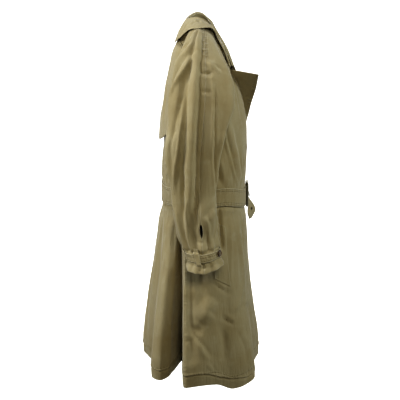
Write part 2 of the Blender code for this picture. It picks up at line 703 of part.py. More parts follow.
def stand_half(place, side):
    neck = neck_point(place, side)
    fold, _, away = collar_lines(place, side)
    tuck = STAND_TUCK * np.exp(-((place - NECK_STATIONS[3]) / 0.07) ** 2)
    neck = neck - away * (STAND_INSET + tuck)[:, None]
    top = fold - away * (FOLD_RADIUS + LEAF_INSET) - np.array([0, 0, FOLD_RADIUS])
    share = np.linspace(0, 1, 3)[:, None, None]
    return lerp(neck[None], top[None], share)


def leaf_half(place, side):
    fold, fall, away = collar_lines(place, side)
    centre = fold - np.array([0, 0, FOLD_RADIUS])
    rows = []
    for turn in np.linspace(0, 1, 4):
        way = -np.cos(pi * turn) * away + np.sin(pi * turn) * np.array([0, 0, 1])
        rows.append(centre + FOLD_RADIUS * way)
    start = rows[-1]
    end = fold + fall
    for share in np.linspace(0, 1, 4)[1:]:
        crown = 4 * MM * np.sin(pi * share)
        rows.append(lerp(start, end, share) + away * crown * 0.6 + np.array([0, 0, crown * 0.6]))
    return np.stack(rows)


def build_collar(gabardine):
    place = np.linspace(0, LEAF_END, 15)
    stand = both_halves(stand_half, place[:-1])
    draw_in(stand, "first_row", STAND_END)
    draw_in(stand, "last_row", STAND_END)
    seam_way = unit(np.gradient(stand, axis=1))
    away = both_halves(lambda p, side: collar_lines(p, side)[2][None], place[:-1])
    normals = unit(away - (away * seam_way).sum(-1, keepdims=True) * seam_way)
    cloth("collar_stand", stand, gabardine, normals)
    cloth("collar_leaf", both_halves(leaf_half, place), gabardine, thickness=LEAF_THICK)


# ------------------------------------------------- what lies on the panels
def wrap(angle):
    return (angle + 180) % 360 - 180


def on_body(angle, z, rise):
    """Body surface moved out by rise; angles may run past 180."""
    angle = wrap(angle)
    return body_point(angle, z) + body_normal(angle, z) * np.reshape(rise, np.shape(rise) + (1,))


FLAP_LAY = 1.2 * MM


def build_storm_flap(gabardine):
    rows = 7
    columns = 16
    c = np.linspace(0, 1, columns + 1)[None, :]
    w = np.linspace(0, 1, rows + 1)[:, None]
    side_z = lerp(-0.024, -0.216, w)
    side_angle = curve(-RAGLAN_BACK[:, 2], RAGLAN_BACK[:, 1], -side_z) + lerp(3, 8, w * w)
    middle_z = lerp(NECK_BACK_Z - 0.012, FLAP_HEM_Z, w)
    z = lerp(side_z, middle_z, 1 - np.abs(2 * c - 1) ** 2.2)
    angle = lerp(side_angle, 360 - side_angle, c)
    lift = w ** 1.6 * lerp(3 * MM, 13 * MM, np.sin(pi * c) ** 0.7)
    rise = CLOTH + FLAP_LAY + lift
    points = on_body(angle, z, rise)
    cloth("storm_flap", points, gabardine)


BELT_LINE = np.array([
    (0, -0.494), (25, -0.482), (65, -0.457), (110, -0.456), (150, -0.468), (180, -0.473),
])
BELT_LAY = 1.1 * MM
BELT_RISE = CLOTH / 2 + BELT_LAY + BELT_THICK / 2
BELT_FACE = BELT_RISE + BELT_THICK / 2          # the belt's outer face
BELT_JOIN = -14.0                               # angle where its ends meet, under the buckle


def belt_height(angle):
    return curve(BELT_LINE[:, 0], BELT_LINE[:, 1], np.abs(wrap(angle)))


def build_belt(gabardine):
    angle = np.linspace(BELT_JOIN + 0.3, BELT_JOIN + 359.7, 45)[None, :]
    across = np.linspace(-0.5, 0.5, 3)[:, None] * BELT_WIDTH
    z = belt_height(angle) + across
    angle = np.broadcast_to(angle, z.shape)
    points = on_body(angle, z, np.full(z.shape, BELT_RISE))
    cloth("belt", points, gabardine, thickness=BELT_THICK)


def build_belt_loops(gabardine):
    """A loop over the belt at each side seam, sewn down above and below it."""
    half = 0.038
    along = np.linspace(-1, 1, 11)[:, None]
    for side, word in ((1, "right"), (-1, "left")):
        middle = side * 96.0
        angle = middle + np.array([[-1.7, 1.7]])
        z = belt_height(np.full((1, 1), middle)) + along * half
        over = ease(1.0, 0.80, np.abs(along))
        rise = lerp(CLOTH + LAY, BELT_FACE + LAY + CLOTH / 2, over)
        angle, z, rise = np.broadcast_arrays(angle, z, rise)
        cloth("belt_loop_" + word, on_body(angle, z, rise), gabardine, thickness=1.6 * MM)


BUCKLE_X = 0.014
BUCKLE_HALF = (0.026, 0.036)     # half width, half height to the bar's middle
BUCKLE_BAR = 3.6 * MM


def build_buckle(leather):
    """A covered frame: a round bar bent to a rounded rectangle, and a tongue."""
    face = on_body(np.zeros(1), np.array([BELT_LINE[0, 1]]), np.array([BELT_FACE]))[0]
    y = face[1] - 0.7 * MM - BUCKLE_BAR
    middle_z = BELT_LINE[0, 1] + 0.002
    corner = 0.009
    points = []
    for cx, cz, start in ((1, 1, 0), (-1, 1, 90), (-1, -1, 180), (1, -1, 270)):
        for step in range(5):
            a = np.radians(start + step * 22.5)
            x = BUCKLE_X + cx * (BUCKLE_HALF[0] - corner) + corner * np.cos(a)
            z = middle_z + cz * (BUCKLE_HALF[1] - corner) + corner * np.sin(a)
            points.append((x, y, z))
    add_tube("belt_buckle", points, BUCKLE_BAR, True, leather)
    reach = BUCKLE_HALF[0]
    front = y - BUCKLE_BAR - 1.8 * MM - LAY
    tongue = [(BUCKLE_X - reach, front, middle_z), (BUCKLE_X, front - 1.0 * MM, middle_z),
              (BUCKLE_X + reach, front, middle_z)]
    add_tube("buckle_tongue", tongue, 1.8 * MM, False, leather)


def add_tube(name, points, radius, closed, material):
    """A round bar along points: a poly curve with a round bevel."""
    data = bpy.data.curves.new(name, "CURVE")
    data.dimensions = "3D"
    data.bevel_depth = radius
    data.bevel_resolution = 2
    data.use_fill_caps = True
    spline = data.splines.new("POLY")
    spline.points.add(len(points) - 1)
    for place, point in zip(spline.points, points):
        place.co = (*point, 1)
    spline.use_cyclic_u = closed
    data.materials.append(material)
    obj = bpy.data.objects.new(name, data)
    bpy.context.scene.collection.objects.link(obj)
    return obj


TAIL_LENGTH = 0.066
TAIL_WIDTH = 0.046
EYELET_RADIUS = 3.0 * MM


def build_belt_tail(gabardine):
    """The belt's free end: it hangs from the buckle, turned a little outward,
    and has a pointed tip and one eyelet hole."""
    along = np.linspace(0, 1, 11)[:, None]
    across = np.linspace(-0.5, 0.5, 7)[None, :]
    taper = lerp(1.0, 0.30, np.clip((along - 0.70) / 0.30, 0, 1))
    turn = np.radians(lerp(6, 34, ease(0, 0.6, along)))
    x = 0.040 + across * taper * TAIL_WIDTH * np.cos(turn)
    y = -0.1546 - 0.012 * np.sin(pi * 0.75 * along) - across * taper * TAIL_WIDTH * np.sin(turn)
    z = -0.5245 - TAIL_LENGTH * (along - 0.1) + 0 * across
    x, y, z = np.broadcast_arrays(x, y, z)
    points = np.stack([x, y, z], -1)
    tail = cloth("belt_tail", points, gabardine, thickness=2.6 * MM)
    hole = points[5, 3]
    normal = grid_normals(points)[5, 3]
    cutter_mesh = bpy.data.meshes.new("eyelet_cutter")
    cutter = bpy.data.objects.new("eyelet_cutter", cutter_mesh)
    bpy.context.scene.collection.objects.link(cutter)
    fill_disc(cutter_mesh, ((EYELET_RADIUS, -4 * MM), (EYELET_RADIUS, 4 * MM)), 12)
    place_on(cutter_mesh, hole, normal)
    cutter.hide_render = True
    cutter.display_type = "WIRE"
    cut = tail.modifiers.new("eyelet", "BOOLEAN")
    cut.operation = "DIFFERENCE"
    cut.solver = "EXACT"
    cut.object = cutter


def fill_disc(mesh, profile, sides):
    """A turned solid about Z: rings from a profile of (radius, height), with a
    flat face at both ends."""
    turn = np.linspace(0, 2 * pi, sides, endpoint=False)
    verts = [(r * np.cos(a), r * np.sin(a), h) for r, h in profile for a in turn]
    faces = [tuple(reversed(range(sides)))]
    for level in range(len(profile) - 1):
        for i in range(sides):
            j = (i + 1) % sides
            base = level * sides
            faces.append((base + i, base + j, base + sides + j, base + sides + i))
    last = (len(profile) - 1) * sides
    faces.append(tuple(range(last, last + sides)))
    mesh.from_pydata(verts, [], faces)
    mesh.update()


def place_on(mesh, point, normal):
    """Turns a mesh's Z to a normal and puts its origin at a point."""
    side = unit(np.cross(normal, (0, 0, 1)))
    up = np.cross(side, normal)
    turn = np.stack([side, up, normal], 1)
    flat = np.zeros(len(mesh.vertices) * 3)
    mesh.vertices.foreach_get("co", flat)
    if np.linalg.det(turn) < 0:
        turn[:, 0] = -turn[:, 0]
    mesh.vertices.foreach_set("co", (flat.reshape(-1, 3) @ turn.T + point).ravel())
    mesh.update()


def add_button(name, point, normal, radius, horn):
    """A four-hole button's disc: rounded rim and a dished middle."""
    thick = 4.0 * MM
    profile = ((radius * 0.85, 0.0), (radius, thick * 0.45), (radius * 0.90, thick),
               (radius * 0.62, thick * 0.75))
    mesh = bpy.data.meshes.new(name)
    fill_disc(mesh, profile, 14)
    place_on(mesh, point, normal)
    mesh.shade_smooth()
    mesh.set_sharp_from_angle(angle=np.radians(50))
    mesh.materials.append(horn)
    obj = bpy.data.objects.new(name, mesh)
    bpy.context.scene.collection.objects.link(obj)


BUTTON_HEIGHTS = (-0.345, -0.430, -0.585, -0.705, -0.825)
BUTTON_INSET = 0.028                            # from the front's free edge
BUTTON_LAY = 0.7 * MM
BUTTON_RADIUS = 12.5 * MM


def build_front_buttons(horn):
    for number, z in enumerate(BUTTON_HEIGHTS, 1):
        edge = curve(RIGHT_EDGE[:, 0], RIGHT_EDGE[:, 1], z)
        angles = np.linspace(0, -60, 121)
        xs = body_point(angles, np.full(121, z))[:, 0]
        edge_x = body_point(edge, z)[0] + FRONT_STRIP
        angle = np.interp(edge_x - BUTTON_INSET, xs, angles)
        normal = body_normal(angle, z)
        point = body_point(angle, z) + normal * (CLOTH / 2 + BUTTON_LAY)
        add_button("front_button_%d" % number, point, normal, BUTTON_RADIUS, horn)


WELT_LAY = 0.9 * MM


def build_pocket_welts(gabardine):
    """A slanted welt on each front, stitched down over the pocket mouth."""
    c = np.linspace(0, 1, 6)[None, :]
    w = np.linspace(0, 1, 9)[:, None]
    for side, word in ((1, "right"), (-1, "left")):
        angle = side * lerp(lerp(62, 77, c), lerp(61, 76, c), w)
        z = lerp(lerp(-0.548, -0.520, c), lerp(-0.730, -0.702, c), w)
        rise = np.full(z.shape, CLOTH / 2 + WELT_LAY + 0.8 * MM)
        cloth("pocket_welt_" + word, on_body(angle, z, rise), gabardine, thickness=1.6 * MM)


STRAP_PLACES = (1.866, 1.922)
STRAP_THICK = 2.0 * MM
STRAP_RISE = CLOTH / 2 + 0.8 * MM + STRAP_THICK / 2
STRAP_FACE = STRAP_RISE + STRAP_THICK / 2
STRAP_TIP = -0.58
BUTTON_TURN = -0.34


def on_sleeve(place, turn, side, rise):
    place, turn, rise = np.broadcast_arrays(place, turn, rise)
    turn = np.where(turn == 0, 1e-6, turn)
    return sleeve_point(place, turn, side) + sleeve_normal(place, turn, side) * rise[..., None]


def build_cuffs(gabardine, horn):
    """Strap round each cuff from the underarm seam over the back to a pointed
    tip in front, its loop near the overarm seam, and its button."""
    low, high = STRAP_PLACES
    middle = (low + high) / 2
    turn = np.concatenate([np.linspace(0.98, STRAP_TIP + 0.10, 19), [STRAP_TIP + 0.05, STRAP_TIP]])[None, :]
    spread = np.where(turn > STRAP_TIP + 0.09, 1.0, lerp(0.25, 1.0, (turn - STRAP_TIP) / 0.10))
    across = np.linspace(-1, 1, 3)[:, None]
    place = middle + across * spread * (high - low) / 2
    for side, word in ((1, "right"), (-1, "left")):
        points = on_sleeve(place, turn, side, STRAP_RISE)
        cloth("cuff_strap_" + word, points, gabardine, thickness=STRAP_THICK)
        along = np.linspace(1.825, 1.985, 12)[:, None]
        over = ease(low - 0.022, low - 0.006, along) * ease(high + 0.030, high + 0.010, along)
        rise = lerp(CLOTH + LAY, STRAP_FACE + 0.7 * MM + 0.8 * MM, over)
        loop_turn = lerp(0.075, 0.035, (along - 1.825) / 0.16) + np.array([[0.0, 0.085]])
        cloth("cuff_loop_" + word, on_sleeve(along, loop_turn, side, rise), gabardine, thickness=1.6 * MM)
        at = on_sleeve(np.array([[middle]]), np.array([[BUTTON_TURN]]), side, STRAP_FACE + 1.3 * MM)[0, 0]
        normal = sleeve_normal(np.array(middle), np.array(BUTTON_TURN), side)
        add_button("cuff_button_" + word, at, normal, 10 * MM, horn)


# ------------------------------------------------------------------ build
def clear_scene():
    for obj in list(bpy.data.objects):
        bpy.data.objects.remove(obj, do_unlink=True)


def build_panels(gabardine):
    for side, word in ((1, "right"), (-1, "left")):
        points, normals = front_panel(side)
        cloth("front_" + word, points, gabardine, normals)
        points, normals = back_panel(side)
        cloth("back_" + word, points, gabardine, normals)
        for half, part in ((-1, "front"), (1, "back")):
            points, normals = sleeve_half(side, half)
            cloth("sleeve_" + part + "_" + word, points, gabardine, normals)


def main():
    clear_scene()
    gabardine = finish("gabardine", GABARDINE, 0.75)
    horn = finish("horn", HORN, 0.35)
    leather = finish("leather", LEATHER, 0.50)
    build_panels(gabardine)
    build_collar(gabardine)
    build_storm_flap(gabardine)
    build_belt(gabardine)
    build_belt_loops(gabardine)
    build_belt_tail(gabardine)
    build_buckle(leather)
    build_pocket_welts(gabardine)
    build_cuffs(gabardine, horn)
    build_front_buttons(horn)


main()
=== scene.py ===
# %% [markdown]
# # A belted raglan trench coat
# The coat keeps the form of somebody who isn't there: rounded chest, hanging
# sleeves, cinched waist and a flared skirt.  Every cloth piece below is a
# surface worked out from two numbers, such as an angle round the body and a
# height, and then given a thickness.  Soft folds are added along its normals.

import bmesh
import bpy
import numpy as np
from math import pi
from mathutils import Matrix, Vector


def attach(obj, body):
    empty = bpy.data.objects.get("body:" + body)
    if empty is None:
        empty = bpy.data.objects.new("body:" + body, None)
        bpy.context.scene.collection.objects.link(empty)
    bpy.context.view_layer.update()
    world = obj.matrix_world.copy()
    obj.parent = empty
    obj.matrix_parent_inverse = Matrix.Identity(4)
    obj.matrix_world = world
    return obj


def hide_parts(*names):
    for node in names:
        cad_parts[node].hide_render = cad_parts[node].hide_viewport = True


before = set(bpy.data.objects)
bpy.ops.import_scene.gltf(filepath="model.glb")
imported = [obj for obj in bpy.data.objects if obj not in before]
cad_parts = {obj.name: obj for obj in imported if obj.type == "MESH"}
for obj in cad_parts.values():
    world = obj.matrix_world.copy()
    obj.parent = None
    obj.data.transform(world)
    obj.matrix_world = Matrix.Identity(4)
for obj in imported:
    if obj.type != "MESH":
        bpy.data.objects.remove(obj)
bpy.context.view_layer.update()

MM = 0.001
SIDES = ((1, "right"), (-1, "left"))
scene = bpy.context.scene

# %% [markdown]
# ## Camera and studio
# The camera stands at the wearer's right side, a little above the shoulder,
# and looks down a little.  The set is a bowl of pale paper: a round floor
# that curves up into a wall on every side, so no horizon shows.

# %% Camera
CAMERA_AT = (-2.5, 0.0, 0.22)
CAMERA_DOWN = 16.294
CAMERA_LENS = 73.83


def add_to_scene(obj):
    scene.collection.objects.link(obj)
    return obj


camera = add_to_scene(bpy.data.objects.new("camera", bpy.data.cameras.new("camera")))
camera.location = CAMERA_AT
camera.rotation_euler = np.radians((90 - CAMERA_DOWN, 0, -90))
camera.data.sensor_width = 36
camera.data.lens = CAMERA_LENS
scene.camera = camera

# %% Lights: soft boxes above, behind, before and on both sides of the coat,
# and one that only lights the paper behind it
scene.view_settings.view_transform = "Standard"
scene.view_settings.look = "High Contrast"
LIT_FROM = 2.2
LIT_POINT = Vector((-0.15, 0.0, -0.2))
SOFT_BOX_SIZE = 0.5
PAPER_LIGHT_AT = (1.6, 0.0, 1.6)
PAPER_LIT_AT = (4.6, 0.0, 0.4)
# direction of each soft box, watts, colour
SOFT_BOXES = {
    "top": ((-0.12, 0.30, 0.95), 22.5, (0.90, 0.94, 1.00)),
    "back": ((-0.17, 0.95, 0.25), 28.5, (0.99, 1.00, 0.93)),
    "front": ((-0.12, -0.98, 0.20), 19, (0.90, 0.97, 0.94)),
    "near_side": ((-0.92, -0.10, 0.38), 15, (1.00, 0.95, 0.75)),
    "far_side": ((0.90, 0.00, 0.14), 16, (1.00, 0.96, 0.80)),
}


def soft_box(name, place, look_at, watts, size, colour):
    data = bpy.data.lights.new(name, "AREA")
    data.energy = watts
    data.size = size
    data.color = colour
    light = add_to_scene(bpy.data.objects.new(name, data))
    light.location = place
    light.rotation_euler = (Vector(place) - Vector(look_at)).to_track_quat("Z", "Y").to_euler()


for name, (way, watts, colour) in SOFT_BOXES.items():
    place = LIT_POINT + LIT_FROM * Vector(way).normalized()
    soft_box(name, place, LIT_POINT, watts, SOFT_BOX_SIZE, colour)
soft_box("paper_light", PAPER_LIGHT_AT, PAPER_LIT_AT, 160, 4.0, (1, 1, 1))

world = bpy.data.worlds.new("studio")
scene.world = world
world.use_nodes = True
dim_room = world.node_tree.nodes["Background"].inputs
dim_room["Color"].default_value = (1.0, 0.90, 0.70, 1)
dim_room["Strength"].default_value = 0.03

# %% [markdown]
# ## Small maths
# Tables hold a form at a few stations; `curve` joins them without swinging
# past them, so a table of a dozen rows gives a smooth body.

# %% Helpers


def curve(rows, at):
    """Cubic pieces through a table whose first column holds the stations; the
    slope is the weighted harmonic mean of both neighbours' slopes, and zero
    where they turn round."""
    x = rows[:, 0]
    y = rows[:, 1:]
    run = np.diff(x)[:, None]
    rise = np.diff(y, axis=0) / run
    before, after = rise[:-1], rise[1:]
    same = before * after > 0
    w1 = 2 * run[1:] + run[:-1]
    w2 = run[1:] + 2 * run[:-1]
    mean = (w1 + w2) / (w1 / np.where(same, before, 1.0) + w2 / np.where(same, after, 1.0))
    slope = np.vstack([rise[:1], np.where(same, mean, 0.0), rise[-1:]])
    at = np.clip(np.asarray(at, float), x[0], x[-1])
    i = np.clip(np.searchsorted(x, at, side="right") - 1, 0, len(x) - 2)
    h = run[i]
    t = (at - x[i])[..., None] / h
    out = ((1 + 2 * t) * (1 - t) ** 2 * y[i] + t * (1 - t) ** 2 * h * slope[i]
           + t * t * (3 - 2 * t) * y[i + 1] + t * t * (t - 1) * h * slope[i + 1])
    return out[..., 0] if y.shape[1] == 1 else out


def ease(low, high, at):
    """0 below low, 1 above high, and t * t * (3 - 2 t) between."""
    t = np.clip((np.asarray(at, float) - low) / (high - low), 0, 1)
    return t * t * (3 - 2 * t)


def bump(low, high, at):
    """0 outside low to high, 1 in the middle, a sine hump between."""
    return np.sin(pi * np.clip((np.asarray(at, float) - low) / (high - low), 0, 1))


def bell(at, middle, width):
    """exp(-((at - middle) / width) squared)"""
    return np.exp(-((at - middle) / width) ** 2)


def unit(v):
    return v / np.maximum(np.linalg.norm(v, axis=-1, keepdims=True), 1e-9)


def square_to(v, way):
    """Unit vectors along v, but square to way."""
    return unit(v - (v * way).sum(-1, keepdims=True) * way)


def lerp(a, b, t):
    return a + (b - a) * t


def raised(points, normals, height):
    """Points moved out along their normals, each by its own height."""
    return points + normals * np.asarray(height)[..., None]


def refine(values, times):
    """The same run of numbers with each step cut into so many equal steps."""
    index = np.arange(len(values))
    fine = np.linspace(0, len(values) - 1, (len(values) - 1) * times + 1)
    return np.interp(fine, index, values)


def on_side(points, side):
    """Points worked out for the right side, or mirrored to the left (-1)."""
    return points * np.array([side, 1.0, 1.0])


def wrap(angle):
    """The same angle between -180 and 180."""
    return (angle + 180) % 360 - 180


# %% [markdown]
# ## The body of the coat
# Seen from above each level is a slightly squared oval.  Below the waist the
# oval opens into the hem, a wavy line with a crest or trough in each row of
# its table.  The angle is 0 at the centre front, +90 at the wearer's right.

# %% Sizes and tables of the body
CLOTH = 1.8 * MM
SEAM = 0.3 * MM
LAY = 0.4 * MM
NECK_BACK_Z = 0.008
WAIST_Z = -0.475
HEM_Z = -1.035
SIDE_SEAM = 112.0
UNDERARM = (102.0, -0.245)

# height, half width, depth forward, depth back
SECTIONS = np.array([
    (-.51, .165, .14, .1165), (-.475, .164, .14, .116), (-.44, .166, .1405, .1155),
    (-.4, .172, .143, .114), (-.33, .18, .144, .1105), (-.245, .187, .1405, .109),
    (-.2, .184, .133, .1035), (-.15, .176, .121, .0975), (-.1, .158, .104, .09),
    (-.05, .125, .092, .079), (0, .088, .084, .06), (.04, .078, .078, .05),
])
# angle at the waist, x, y, height above HEM_Z
HEM = np.array([
    (-170, .035, .18, 0), (-158, .088, .152, .004), (-144, .152, .148, -.002),
    (-132, .205, .112, -.004), (-121, .16, .072, .006), (-112, .248, .044, .006),
    (-104, .262, .02, 0), (-88, .252, -.035, -.004), (-72, .228, -.09, .002),
    (-56, .186, -.146, -.004), (-38, .128, -.166, .004), (-20, .07, -.184, -.002),
    (0, 0, -.195, -.004), (16, -.06, -.181, 0), (28, -.114, -.166, .004), (40, -.172, -.172, -.002),
    (54, -.216, -.146, -.006), (67, -.236, -.104, -.012), (80, -.25, -.05, .01),
    (94, -.268, .002, .014), (107, -.272, .04, .01), (112, -.264, .05, .008),
    (118, -.105, .058, .015), (127, -.16, .085, .008), (135, -.206, .122, 0),
    (144, -.168, .152, -.004), (154, -.098, .146, -.002), (167, -.045, .17, .002),
    (180, 0, .187, 0),
])
# angle, height of the line where the turned hem ends
HEM_TURN = np.array([
    (-180, -1.002), (-150, -.998), (-128, -1.004), (-112, -.999), (-95, -1.005), (-78, -.999),
    (-60, -1.008), (-44, -1.003), (-20, -1.006), (20, -1.004), (47, -1.013), (53, -1.012),
    (60, -1.006), (66, -1.001), (73, -1.003), (77, -1.008), (81, -1.005), (87, -.998), (97, -.996),
    (110, -.997), (130, -1.003), (150, -.998), (180, -1.002),
])
# height, how far the skirt has opened in front and behind
FLARE = np.array([
    (-1.035, 1, 1), (-.98, .96, 1.02), (-.94, .89, .96), (-.87, .69, .85), (-.78, .44, .66),
    (-.7, .29, .46), (-.628, .18, .3), (-.56, .11, .15), (-.535, .04, .04), (-.518, 0, 0),
])
# upper angle, height, lower angle, height, half width in degrees, depth
BODY_FOLDS = (
    (62, -.18, 35, -.425, 5, .007), (52, -.22, 27, -.425, 5, -.006),
    (84, -.31, 72, -.415, 5, -.006), (150, -.32, 141, -.425, 7, -.006),
    (168, -.32, 171, -.43, 6, .004), (-62, -.19, -40, -.425, 5, .006),
    (-50, -.24, -30, -.425, 5, -.005), (-146, -.31, -139, -.42, 7, -.006),
    (42, -.54, 36, -.82, 4, .006), (66, -.745, 76, -1, 6, -.007), (90, -.54, 92, -.9, 6, -.006),
    (-46, -.545, -50, -.86, 5, -.007), (-86, -.54, -80, -.96, 6, -.006),
    (160, -.53, 156, -.8, 5, -.005),
)

# %% The body as a surface


def ring(angle, half_width, front, back):
    """Super-ellipse with power 2.3: x and y of a level section."""
    a = np.radians(angle)
    s = np.sin(a)
    c = np.cos(a)
    square = 2.3
    k = (np.abs(s) ** square + np.abs(c) ** square) ** (-1 / square)
    return -half_width * s * k, -np.where(c > 0, front, back) * c * k


def hem_point(angle):
    """x, y and lift of the hem under an angle; the table closes on itself."""
    whole_turn = (360, 0, 0, 0)
    return curve(np.vstack([HEM[-1] - whole_turn, HEM, HEM[0] + whole_turn]), angle)


def large_folds(angle, z):
    """Sum of ridges and troughs: a bell curve across each, a sine along it."""
    total = np.zeros(np.broadcast(angle, z).shape)
    for a0, z0, a1, z1, width, depth in BODY_FOLDS:
        along = np.clip((z - z0) / (z1 - z0), 0, 1)
        total += depth * np.sin(pi * along) ** 0.8 * bell(angle, lerp(a0, a1, along), width)
    return total


def body_point(angle, z):
    """Waist oval blended into the hem by FLARE, moved outward by the folds."""
    angle, z = np.broadcast_arrays(np.asarray(angle, float), np.asarray(z, float))
    half, front, back = np.moveaxis(curve(SECTIONS, z), -1, 0)
    lean = 0.020 * bell(z, -0.09, 0.10) * ease(8, 34, -angle) * ease(100, 60, -angle)
    x, y = ring(angle, half, front + lean, back)
    hem_x, hem_y, hem_lift = np.moveaxis(hem_point(angle), -1, 0)
    in_front, behind = np.moveaxis(curve(FLARE, z), -1, 0)
    opened = lerp(in_front, behind, (1 - np.cos(np.radians(angle))) / 2)
    x = lerp(x, hem_x, opened)
    y = lerp(y, hem_y, opened)
    fold = unit(np.stack([x, 1.4 * y], -1)) * large_folds(angle, z)[..., None]
    return np.stack([x + fold[..., 0], y + fold[..., 1], z + hem_lift * opened ** 3], -1)


def body_normal(angle, z):
    """Outward normal from central differences."""
    along = body_point(angle + 0.3, z) - body_point(angle - 0.3, z)
    up = body_point(angle, z + 0.002) - body_point(angle, z - 0.002)
    return unit(np.cross(up, along))


def side_seam(z):
    """Angle of the side seam: under the arm, then further back."""
    return lerp(UNDERARM[0], SIDE_SEAM, ease(UNDERARM[1], WAIST_Z, z))


# %% [markdown]
# ## Creases
# Cotton gabardine holds narrow, soft-shouldered creases on top of the large
# folds.  Each row of a crease table holds a width, a height (minus for a
# trough), how much of a ridge runs beside it, and then a short path as pairs
# of the piece's own two numbers.  The relief depends on the real distance
# from that path.

# %% Relief of a crease table


def near_path(points, normals, line):
    """Signed distance of points from a polyline and how far along it (0 to 1)
    the nearest place is.  The sign is + to the left, seen from outside."""
    best = np.full(len(points), 1e9)
    signed = np.zeros(len(points))
    share = np.zeros(len(points))
    lengths = np.linalg.norm(np.diff(line, axis=0), axis=1)
    start = np.concatenate([[0], np.cumsum(lengths)]) / lengths.sum()
    for i in range(len(line) - 1):
        step = line[i + 1] - line[i]
        t = np.clip((points - line[i]) @ step / (step @ step), 0, 1)
        off = points - line[i] - t[:, None] * step
        distance = np.linalg.norm(off, axis=1)
        nearer = distance < best
        side = np.sign((np.cross(step, off) * normals).sum(1))
        best = np.where(nearer, distance, best)
        signed = np.where(nearer, distance * side, signed)
        share = np.where(nearer, lerp(start[i], start[i + 1], t), share)
    return signed, share


def relief(points, normals, rows, at):
    """Height of all creases: a bell across each path, plus its companion of
    the other sign 1.9 widths to one side, faded in and out along the path."""
    flat = points.reshape(-1, 3)
    flat_normals = normals.reshape(-1, 3)
    total = np.zeros(len(flat))
    for width, depth, beside, *path in rows:
        knots = at(*np.array(path, float).reshape(-1, 2).T)
        last = len(knots) - 1
        numbered = np.column_stack([np.arange(last + 1), knots])
        line = curve(numbered, np.linspace(0, last, 5 * last + 1))
        reach = 4.5 * width * MM
        close = ((flat > line.min(0) - reach) & (flat < line.max(0) + reach)).all(1)
        if close.any():
            signed, share = near_path(flat[close], flat_normals[close], line)
            w = width * MM * lerp(0.75, 1.15, share)
            ridge = abs(beside) * bell(signed, 1.9 * np.sign(beside) * w, 1.2 * w)
            along = np.sin(pi * np.clip(share, 0.0, 1.0)) ** 0.6
            total[close] += depth * MM * (bell(signed, 0, w) - ridge) * along
    return total.reshape(points.shape[:-1])


# %% Faint unevenness of worn cloth, the same all over the coat
# wave numbers per metre along x, y, z, phase, height in mm
WAVES = (
    (31, 17, 9, .4, .42), (-22, 34, 13, 1.9, .36), (14, -39, 21, 3.3, .3), (47, 12, -26, 5, .22),
    (-36, -28, 33, 2.6, .2), (58, -51, 7, 4.4, .14), (-63, 44, 29, .9, .12),
)


def unevenness(points):
    """Sum of a few plane waves in space."""
    return sum(height * MM * np.sin(2 * (points @ np.array(wave)) + phase)
               for *wave, phase, height in WAVES)


